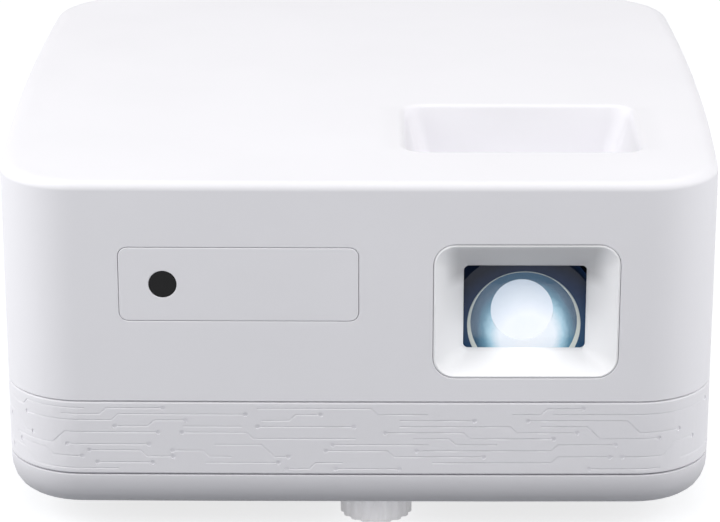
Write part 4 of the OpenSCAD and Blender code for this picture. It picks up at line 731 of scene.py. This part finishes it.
front_profile = dome(glass_r, edge_y, dome_rise)
rear_profile = dome(glass_r, back_y, -rear_rise)
bm = turned(front_profile[::-1] + rear_profile, lens_axis.x, lens_axis.z)
make_piece(bm, "front_glass", "lens_cell", lens_glass, ("front_lens",), 0, 40)

lip_y = cell_low.y
trim_r = 16.95 * MM
trim_split_r = 16.3 * MM
trim_raise = 0.45 * MM
trim = [
    (trim_r, lip_y - 0.04 * MM), (16.84 * MM, lip_y - 0.06 * MM), (16.7 * MM, lip_y + 0.1 * MM),
    (15.95 * MM, lip_y + 1.2 * MM), (16.0 * MM, lip_y + 1.3 * MM), (trim_r, lip_y + 1.3 * MM),
    (trim_r, lip_y - 0.04 * MM),
]
bm = turned(trim, lens_axis.x, lens_axis.z)
for vert in bm.verts:
    if math.hypot(vert.co.x - lens_axis.x, vert.co.z - lens_axis.z) < trim_split_r:
        vert.co.z += trim_raise
make_piece(bm, "lens_trim_ring", "lens_cell", cream_trim_painted_glow, (), 0, 50)

pupil_r = 8.2 * MM
pupil_y = lip_y + 13.2 * MM
throat_r = 17.9 * MM
throat_y = dip_y + 0.3 * MM
throat = [
    (throat_r, throat_y), (16.2 * MM, throat_y), (14.6 * MM, dip_y + 1.0 * MM),
    (12.6 * MM, dip_y + 2.6 * MM), (10.6 * MM, pupil_y - 0.9 * MM), (pupil_r, pupil_y),
    (pupil_r, pupil_y + 0.8 * MM), (throat_r, pupil_y + 0.8 * MM), (throat_r, throat_y),
]
bm = turned(throat, lens_axis.x, lens_axis.z)
make_piece(bm, "lens_baffle", "lens_cell", baffle_glow, (), 0, 30)

bulge_r = pupil_r - 0.05 * MM
bulge = dome(bulge_r, pupil_y + 0.6 * MM, 1.1 * MM)
flat = [(0.0, pupil_y + 0.75 * MM), (bulge_r, pupil_y + 0.75 * MM)]
bm = turned(flat + bulge, lens_axis.x, lens_axis.z)
make_piece(bm, "lit_pupil", "lens_cell", pupil_glow, (), 0, 40)

# %% Light that the lens throws on its funnel
spill_place = (lens_axis.x, lip_y - 2.4 * MM, lens_axis.z + 4 * MM)
spill_aim = (lens_axis.x, lip_y - 20 * MM, lens_axis.z - 12 * MM)
spill_size = 14 * MM
spill_watts = 0.0024
pale_blue = (0.96, 0.985, 1.0)
spill = soft_box("lens_spill", spill_place, spill_aim, spill_size, spill_watts, pale_blue)
spill.visible_camera = False
spill.visible_glossy = False
spill.visible_transmission = False
print("lens pieces on the axis at", round(lens_axis.x / MM, 1), round(lens_axis.z / MM, 1))

# %% [markdown]
# ## The outline of the case
#
# Seen from above, the case is a square with round corners whose sides bow out a little. Every
# height of every shell follows that outline at some inset, so one helper draws it: a single
# point is spun along eight arcs, four long flat ones and four corners, and the end is welded to
# the start.

# %% Case outline
case_half_x = case_high.x
case_half_y = case_high.y
corner_r = 24 * MM
side_bow = 2.2 * MM
corner_x = case_half_x - corner_r - side_bow
corner_y = case_half_y - corner_r - face_bow
side_arc = (corner_y ** 2 + side_bow ** 2) / (2 * side_bow)
face_arc = (corner_x ** 2 + face_bow ** 2) / (2 * face_bow)
side_turn = math.asin(corner_y / side_arc)
face_turn = math.asin(corner_x / face_arc)
side_mid = corner_x + side_bow - side_arc
face_mid = corner_y + face_bow - face_arc
corner_turn = math.pi / 2 - side_turn - face_turn
side_steps, corner_steps, face_steps = 24, 18, 12
arcs = [
    (side_mid, 0, side_arc, 2 * side_turn, side_steps),
    (corner_x, corner_y, 0, corner_turn, corner_steps),
    (0, face_mid, face_arc, 2 * face_turn, face_steps),
    (-corner_x, corner_y, 0, corner_turn, corner_steps),
    (-side_mid, 0, side_arc, 2 * side_turn, side_steps),
    (-corner_x, -corner_y, 0, corner_turn, corner_steps),
    (0, -face_mid, face_arc, 2 * face_turn, face_steps),
    (corner_x, -corner_y, 0, corner_turn, corner_steps),
]


def case_loop(bm, inset, z, squeeze=0.0):
    """The closed outline at an inset and a height. Squeeze draws the two sides in further."""
    radius = corner_r - inset
    reach = side_arc + radius
    first = bm.verts.new((side_mid + reach * math.cos(side_turn), -reach * math.sin(side_turn), z))
    made = [first]
    for mid_x, mid_y, extra, turn, steps in arcs:
        spun = bmesh.ops.spin(
            bm, geom=[made[-1]], cent=(mid_x, mid_y, z), axis=(0, 0, 1), dvec=(0, 0, 0),
            angle=turn, steps=steps)
        last = next(item for item in spun["geom_last"] if isinstance(item, bmesh.types.BMVert))
        walk = [last]
        while made[-1] not in walk:
            before = walk[-1]
            onward = [edge.other_vert(before) for edge in before.link_edges]
            walk.append(next(vert for vert in onward if vert not in walk))
        made += walk[-2::-1]
    bmesh.ops.weld_verts(bm, targetmap={made[-1]: first})
    made.pop()
    shrink = 1 - squeeze / (case_half_x - inset)
    bmesh.ops.scale(bm, vec=(shrink, 1, 1), verts=made)
    return list({edge for vert in made for edge in vert.link_edges})


def case_skin(bm, stations):
    """Bridges outlines given as (inset, height) or (inset, height, squeeze).

    Two outlines on one level can be paired back to front, so each is bridged on a storey of its
    own, 20 mm above the last, and goes to its height afterwards.
    """
    rims = [case_loop(bm, inset, storey * 20 * MM, *rest)
            for storey, (inset, z, *rest) in enumerate(stations)]
    for first, second in zip(rims, rims[1:]):
        bmesh.ops.bridge_loops(bm, edges=first + second)
    for rim, station in zip(rims, stations):
        for vert in {vert for edge in rim for vert in edge.verts}:
            vert.co.z = station[1]
    return rims


def along(distance):
    """The point and the outward direction at a distance along the outline."""
    heading = -side_turn
    for mid_x, mid_y, extra, turn, steps in arcs * 2:
        radius = extra + corner_r
        length = radius * turn
        if distance <= length:
            angle = heading + distance / radius
            out = Vector((math.cos(angle), math.sin(angle), 0))
            return Vector((mid_x, mid_y, 0)) + out * radius, out
        distance -= length
        heading += turn


perimeter = sum((extra + corner_r) * turn for mid_x, mid_y, extra, turn, steps in arcs)
print("outline length in mm:", round(perimeter / MM, 1))

# %% Carving
def loose_object(bm, name):
    """A plain object with the bmesh as its mesh."""
    mesh = bpy.data.meshes.new(name)
    bm.to_mesh(mesh)
    bm.free()
    made = bpy.data.objects.new(name, mesh)
    bpy.context.scene.collection.objects.link(made)
    return made


def carve(bm, cutters):
    """Cuts meshes out of a mesh with the Boolean modifier and gives back the result."""
    target = loose_object(bm, "carved")
    tools = [loose_object(cutter, "cutter") for cutter in cutters]
    for tool in tools:
        boolean = target.modifiers.new("carve", "BOOLEAN")
        boolean.operation = "DIFFERENCE"
        boolean.solver = "EXACT"
        boolean.object = tool
    evaluated = target.evaluated_get(bpy.context.evaluated_depsgraph_get())
    result = bmesh.new()
    result.from_mesh(evaluated.to_mesh())
    evaluated.to_mesh_clear()
    for made in [target, *tools]:
        bpy.data.objects.remove(made)
    bmesh.ops.remove_doubles(result, verts=result.verts, dist=0.0005 * MM)
    return result


def block(low, high):
    """A box from its low corner to its high corner."""
    bm = bmesh.new()
    made = bmesh.ops.create_cube(bm, size=1.0)
    bmesh.ops.scale(bm, vec=Vector(high) - Vector(low), verts=made["verts"])
    bmesh.ops.translate(bm, vec=(Vector(high) + Vector(low)) / 2, verts=made["verts"])
    return bm


# %% [markdown]
# ## The band and its engraved lines
#
# The pale band carries a fine engraving of long level lines that jog at 45 degrees and end in
# round dots, like the tracks on a circuit board. Each line is a groove that is deep at its
# upper edge only, so the upper edge is a shade and the lower edge a glint. The layout is made
# by seeded random draws: a line takes a free stretch of one of eleven rows, and many of them
# cross to another row, one or two up or down.

# %% Lay out the lines
random.seed(23)
tries = 2600
line_lengths = (16, 70)
line_steps = [-2, -1, -1, 0, 1, 1, 2]
jog_places = (0.3, 0.7)
dot_chance = 0.55
row_count = 11
row_pitch = 1.95 * MM
cell_size = 0.5 * MM
band_low, band_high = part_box("mid_band")
door_low, door_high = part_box("tray_bezel")
seam_top = 43.4 * MM
row_base = band_low.z + 1.75 * MM
taken = [[False] * (int(perimeter / cell_size) + 2) for row in range(row_count)]
room = 1.4 * MM
door_rows = [row for row in range(row_count)
             if door_low.z - room < row_base + row * row_pitch < door_high.z + room]
door_half = door_high.y + 2.5 * MM
for row in door_rows:
    for cell in range(len(taken[row])):
        place = along(min(cell * cell_size, perimeter))[0]
        if place.x < -case_half_x * 0.9 and abs(place.y) < door_half:
            taken[row][cell] = True


def cells_of(start, end):
    return range(int(start / cell_size), int(end / cell_size) + 1)


def free(row, start, end):
    """Whether a row has nothing yet between two distances."""
    return 0 <= row < row_count and not any(taken[row][cell] for cell in cells_of(start, end))


def take(row, start, end):
    for cell in cells_of(start, end):
        taken[row][cell] = True


tracks_drawn = []
for _ in range(tries):
    row = random.randrange(row_count)
    length = random.uniform(*line_lengths) * MM
    start = random.uniform(2 * MM, perimeter - length - 4 * MM)
    step = random.choice(line_steps)
    turn_at = start + length * random.uniform(*jog_places)
    ends = (random.random() < dot_chance, random.random() < dot_chance)
    ahead = turn_at + abs(step) * row_pitch
    spans = [
        (row, start - room, turn_at + room),
        (row + step, turn_at - room, start + length + room),
    ]
    if abs(step) == 2:
        spans.append((row + step // 2, turn_at - room, ahead + room))
    if not all(free(*span) for span in spans):
        continue
    for span in spans:
        take(*span)
    jog = [(turn_at, row), (ahead, row + step)] if step else []
    tracks_drawn.append(([(start, row), *jog, (start + length, row + step)], ends))
print("engraved lines:", len(tracks_drawn))

# %% Cut the lines
groove_w = 0.55 * MM
groove_deep = 0.26 * MM
groove_shallow = 0.01 * MM
groove_piece = 2.5 * MM
dot_deep = 0.3 * MM
dot_r = 0.75 * MM
outside = 0.3 * MM


def on_band(distance, height, offset):
    """A point at an offset outside the band, and the outward direction there."""
    place, out = along(distance)
    point = place + out * offset
    point.z = height
    return point, out


def thicken(bm, verts, depths):
    """Pushes a copy of a strip into the case, each corner by its own amount, and walls it in."""
    def key(vert):
        return tuple(round(part * 1e7) for part in vert.co)
    push = {key(vert): amount for vert, amount in zip(verts, depths)}
    faces = list({face for vert in verts for face in vert.link_faces})
    made = bmesh.ops.extrude_face_region(bm, geom=faces, use_keep_orig=True)
    for vert in made["geom"]:
        if isinstance(vert, bmesh.types.BMVert):
            vert.co -= push[key(vert)]


def groove(bm, path):
    """A strip along a path of (distance, row), bent round the case, deep at its upper edge."""
    points = [Vector((distance, row_base + row * row_pitch)) for distance, row in path]
    dense = []
    for first, second in zip(points, points[1:]):
        pieces = max(1, math.ceil((second - first).length / groove_piece))
        dense += [first.lerp(second, step / pieces) for step in range(pieces)]
    dense.append(points[-1])
    made = bmesh.ops.create_grid(bm, x_segments=len(dense) - 1, y_segments=1, size=0.5)
    columns = sorted(made["verts"], key=lambda vert: (round(vert.co.x, 6), vert.co.y))
    depths = []
    for index, vert in enumerate(columns):
        at = index // 2
        before, after = dense[max(at - 1, 0)], dense[min(at + 1, len(dense) - 1)]
        ahead = (after - before).normalized()
        side = Vector((-ahead.y, ahead.x)) * groove_w / 2
        upper = index % 2 == 1
        spot = dense[at] + (side if upper else -side)
        vert.co, out = on_band(spot.x, spot.y, outside)
        depths.append(out * (outside + (groove_deep if upper else groove_shallow)))
    thicken(bm, columns, depths)


def dot(bm, distance, row):
    """A short round plug, for the end of a line."""
    made = bmesh.ops.create_circle(bm, cap_ends=True, segments=12, radius=dot_r)
    height = row_base + row * row_pitch
    depths = []
    for vert in made["verts"]:
        vert.co, out = on_band(distance + vert.co.x, height + vert.co.y, outside)
        depths.append(out * (outside + dot_deep))
    thicken(bm, made["verts"], depths)


lines = bmesh.new()
dots = bmesh.new()
for path, ends in tracks_drawn:
    groove(lines, path)
    for wanted, (distance, row) in zip(ends, (path[0], path[-1])):
        if wanted:
            dot(dots, distance, row)
for cutter in (lines, dots):
    bmesh.ops.recalc_face_normals(cutter, faces=cutter.faces)

wall = 2.2 * MM
tongue_in = 2.3 * MM
tongue_out = 3.5 * MM
band_foot = band_low.z
edge_r = 0.6 * MM
step_in = 1.0 * MM
step_high = 0.18 * MM
tongue_foot = seam_top - 2.8 * MM
profile = [(edge_r * (1 - math.sin(turn)), band_foot + edge_r * (1 - math.cos(turn)))
           for turn in quarter_turn(5)]
profile += [(edge_r * (1 - math.cos(turn)), seam_top - edge_r * (1 - math.sin(turn)))
            for turn in quarter_turn(5)]
profile += [
    (step_in, seam_top), (step_in, seam_top + step_high), (tongue_in, seam_top + step_high),
    (tongue_in, band_high.z), (tongue_out, band_high.z), (tongue_out, tongue_foot),
    (wall, tongue_foot), (wall, band_foot - step_high), (step_in, band_foot - step_high),
    (step_in, band_foot), (edge_r, band_foot),
]
bm = bmesh.new()
case_skin(bm, profile)
outward(bm)
door_gap = 0.4 * MM
doorway = block(
    (door_low.x - 2 * MM, door_low.y - door_gap, door_low.z - door_gap),
    (door_high.x + 1 * MM, door_high.y + door_gap, door_high.z + door_gap))
print("band ring in ml:", round(bm.calc_volume() * 1e6, 1))
bm = carve(bm, [doorway, lines, dots])
print("band:", len(bm.faces), "faces,", round(bm.calc_volume() * 1e6, 1), "ml")
print("band open edges:", sum(1 for edge in bm.edges if not edge.is_manifold))
make_piece(bm, "engraved_band", "root", band_white, ("mid_band",), 0, 30)

# %% [markdown]
# ## The top cover
#
# The cover is one moulding: bowed walls, a tight roll at the front and rear edges and a wider
# one at the sides, and a finger recess that lets a fingertip reach the focus wheel. Two closed
# blocks make it. The outer one has the shape of the case with the recess pressed into its top.
# The other is the cavity, the same form a wall thickness inside. The cavity, the openings and
# the vents are carved out of the outer block, as a mould's core and inserts would leave them.

# %% Recess loops
rim_w, rim_l, rim_r = 75.2 * MM, 51.0 * MM, 8.2 * MM
mouth_w, mouth_l, mouth_r = 70.8 * MM, 48.4 * MM, 6.2 * MM
floor_w, floor_l, floor_r = 63.5 * MM, 43.0 * MM, 5.0 * MM
roll_drop = 1.4 * MM
fillet = 2.2 * MM


def recess_loops(bm, grow=0.0):
    """Loops from the rim to the floor of the recess.

    Grown, they follow its hidden side, from the ceiling down.
    """
    if grow:
        stations = [(mouth_w, mouth_l, mouth_r, case_high.z - wall + grow)]
    else:
        shares = [(1 - math.sin(turn), 1 - math.cos(turn)) for turn in quarter_turn(5)]
        stations = [
            (mouth_w + (rim_w - mouth_w) * out, mouth_l + (rim_l - mouth_l) * out,
             mouth_r + (rim_r - mouth_r) * out, case_high.z - roll_drop * down)
            for out, down in shares
        ]
    stations.append((floor_w, floor_l, floor_r, recess_floor_z + fillet))
    for turn in quarter_turn(5)[1:]:
        inward = 2 * fillet * (1 - math.cos(turn))
        stations.append((floor_w - inward, floor_l - inward, floor_r - inward / 4,
                         recess_floor_z + fillet * (1 - math.sin(turn))))
    loops = []
    for width, length, radius, z in stations:
        verts = rounded_rect(bm, width + 2 * grow, length + 2 * grow, radius + grow, 8)
        bmesh.ops.translate(bm, vec=(recess_x, recess_y, z - grow), verts=verts)
        loops.append(verts)
    return loft(bm, loops)


# %% Outer block and cavity
cover_foot = 43.6 * MM
roll_z, roll_y, roll_x = 2.6 * MM, 2.6 * MM, 4.8 * MM
foot_r = 0.22 * MM
skin_in = 0.05 * MM
row_high = 22 * MM
recess_wall = 1.8 * MM
outer = [(skin_in + foot_r * share, cover_foot + foot_r * rise)
         for share, rise in ((1, 0), (0.3, 0.3), (0, 1))]
outer += [(skin_in, cover_foot + row_high), (skin_in, cover_foot + 2 * row_high)]
outer += [(skin_in + roll_y * (1 - math.cos(turn)), case_high.z - roll_z * (1 - math.sin(turn)),
           (roll_x - roll_y) * (1 - math.cos(turn))) for turn in quarter_turn(8)]
inner = [(wall, cover_foot - 1 * MM), (wall, cover_foot + row_high), (wall, case_high.z - wall)]


def cover_solid(stations, grow=0.0):
    """A closed block in the shape of the case with the recess pressed into its top."""
    bm = bmesh.new()
    case_rims = case_skin(bm, stations)
    recess_rims = recess_loops(bm, grow)
    top = case_rims[-1] + recess_rims[0]
    bmesh.ops.triangle_fill(bm, use_beauty=True, use_dissolve=False, edges=top)
    cap(bm, recess_rims[-1])
    cap(bm, case_rims[0])
    return outward(bm)


bm = cover_solid(outer)
cavity = cover_solid(inner, recess_wall)
print("block and cavity in ml:", [round(form.calc_volume() * 1e6, 1) for form in (bm, cavity)])


# %% Rounded bars
def bar(bm, width, height, radius, low, high, facing):
    """A rounded bar that runs from front to rear, or from left to right when it faces the side."""
    verts = rounded_rect(bm, width, height, radius, 6)
    face = verts[0].link_faces[0]
    long = high.y - low.y if facing == "front" else high.x - low.x
    made = bmesh.ops.extrude_face_region(bm, geom=[face], use_keep_orig=True)
    far = [item for item in made["geom"] if isinstance(item, bmesh.types.BMVert)]
    bmesh.ops.translate(bm, vec=(0, 0, -long), verts=far)
    every = verts + far
    turns = [Matrix.Rotation(math.pi / 2, 3, "X")]
    middle = (low + high) / 2
    start = Vector((middle.x, low.y, middle.z))
    if facing == "side":
        turns.append(Matrix.Rotation(-math.pi / 2, 3, "Z"))
        start = Vector((low.x, middle.y, middle.z))
    for matrix in turns:
        bmesh.ops.rotate(bm, cent=(0, 0, 0), matrix=matrix, verts=every)
    bmesh.ops.translate(bm, vec=start, verts=every)


# %% Openings and vents
panel_low, panel_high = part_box("sensor_panel")
io_low, io_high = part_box("io_panel")
intake_low, intake_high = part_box("intake_fan_frame")
exhaust_low, exhaust_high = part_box("exhaust_fan_frame")
past = 2 * MM
hole_deep = 6 * MM
panel_hole = (70.7 * MM, 23 * MM, 2.8 * MM)
io_hole = (76 * MM, 36 * MM, 2.8 * MM)
openings = bmesh.new()


def opening(size, x, z, first, last):
    """A hole of (width, height, corner radius) that runs from the first depth to the last."""
    bar(openings, *size, Vector((x, first, z)), Vector((x, last, z)), "front")


panel_mid = (panel_low + panel_high) / 2
io_mid = (io_low + io_high) / 2
opening((bezel_w, bezel_h, bezel_r), bezel_x, bezel_z, front_y - past, front_y + hole_deep)
opening(panel_hole, panel_mid.x, panel_mid.z, front_y - past, front_y + hole_deep)
opening(io_hole, io_mid.x, io_mid.z, case_high.y - hole_deep, case_high.y + past)

slot_w = 2.2 * MM
slot_r = 1.0 * MM
slot_pitch = 4.2 * MM
slot_deep = 5 * MM
intake_slot_h, exhaust_slot_h = 42 * MM, 54 * MM
intake_steps, exhaust_steps = range(-5, 6), range(-7, 8)
intake_mid = (intake_low + intake_high) / 2
exhaust_mid = (exhaust_low + exhaust_high) / 2
exhaust_slot_z = exhaust_mid.z - 1 * MM
slots = bmesh.new()
for step in intake_steps:
    low = Vector((case_low.x - past, intake_mid.y + step * slot_pitch, intake_mid.z))
    high = low + Vector((past + slot_deep, 0, 0))
    bar(slots, slot_w, intake_slot_h, slot_r, low, high, "side")
for step in exhaust_steps:
    low = Vector((exhaust_mid.x + step * slot_pitch, case_high.y - slot_deep, exhaust_slot_z))
    high = low + Vector((0, slot_deep + past, 0))
    bar(slots, slot_w, exhaust_slot_h, slot_r, low, high, "front")
print("vents:", len(intake_steps) + len(exhaust_steps))

# %% Slot for the focus wheel
ring_low, ring_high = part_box("focus_ring")
ring_mid = (ring_low + ring_high) / 2
ring_r = ring_high.z - ring_mid.z
ring_gap = 0.6 * MM
ring_side = 1.2 * MM
ring_reach = math.sqrt(ring_r ** 2 - (recess_floor_z - recess_wall - ring_mid.z) ** 2)
ring_slot = block(
    (ring_mid.x - ring_reach - ring_side, ring_low.y - ring_gap, recess_floor_z - 3 * MM),
    (ring_mid.x + ring_reach + ring_side, ring_high.y + ring_gap, recess_floor_z + 1 * MM))

# %% Carve the cover
for cutter in (openings, slots):
    bmesh.ops.recalc_face_normals(cutter, faces=cutter.faces)
bm = carve(bm, [cavity, openings, slots, ring_slot])
print("cover:", len(bm.faces), "faces,", round(bm.calc_volume() * 1e6, 1), "ml")
print("cover open edges:", sum(1 for edge in bm.edges if not edge.is_manifold))
cover_edge_r = 0.28 * MM
make_piece(bm, "cover_shell", "root", shell_white, ("top_cover",),
           cover_edge_r, segments=3)

# %% Dressed pieces
def dress_all(radii):
    """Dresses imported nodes, given as (node, radius of its edges in millimetres)."""
    for node, radius in radii:
        dress(node, radius * MM)


hidden_sharp = 35
dress_all((
    ("base_tray", 0.25), ("sensor_panel", 0.25), ("sensor_window", 0.2), ("io_panel", 0.2),
    ("rear_feet", 0.4), ("foot_pad", 0.3), ("foot_knob", 0.25)))
dress("lens_cell", 0.2 * MM, material=cell_painted_glow)
dress("disc_tray", 0.2 * MM)
for inner_part in (
        "case_screws", "foot_screw", "tripod_insert", "hdmi_ports", "usb_port", "dc_jack",
        "audio_jack", "intake_fan_frame", "intake_fan_rotor", "exhaust_fan_frame",
        "exhaust_fan_rotor", "speaker_cone", "lens_barrel", "motor_deck", "spindle_hub",
        "laser_sled", "guide_rods", "lead_screw", "tray_rails", "drive_chassis", "drive_cover"):
    dress(inner_part, 0, hidden_sharp)
dress_all((
    ("focus_ring", 0.15), ("tray_bezel", 0.25), ("eject_button", 0.2), ("key_power", 0.2),
    ("key_source", 0.2), ("key_menu", 0.2)))
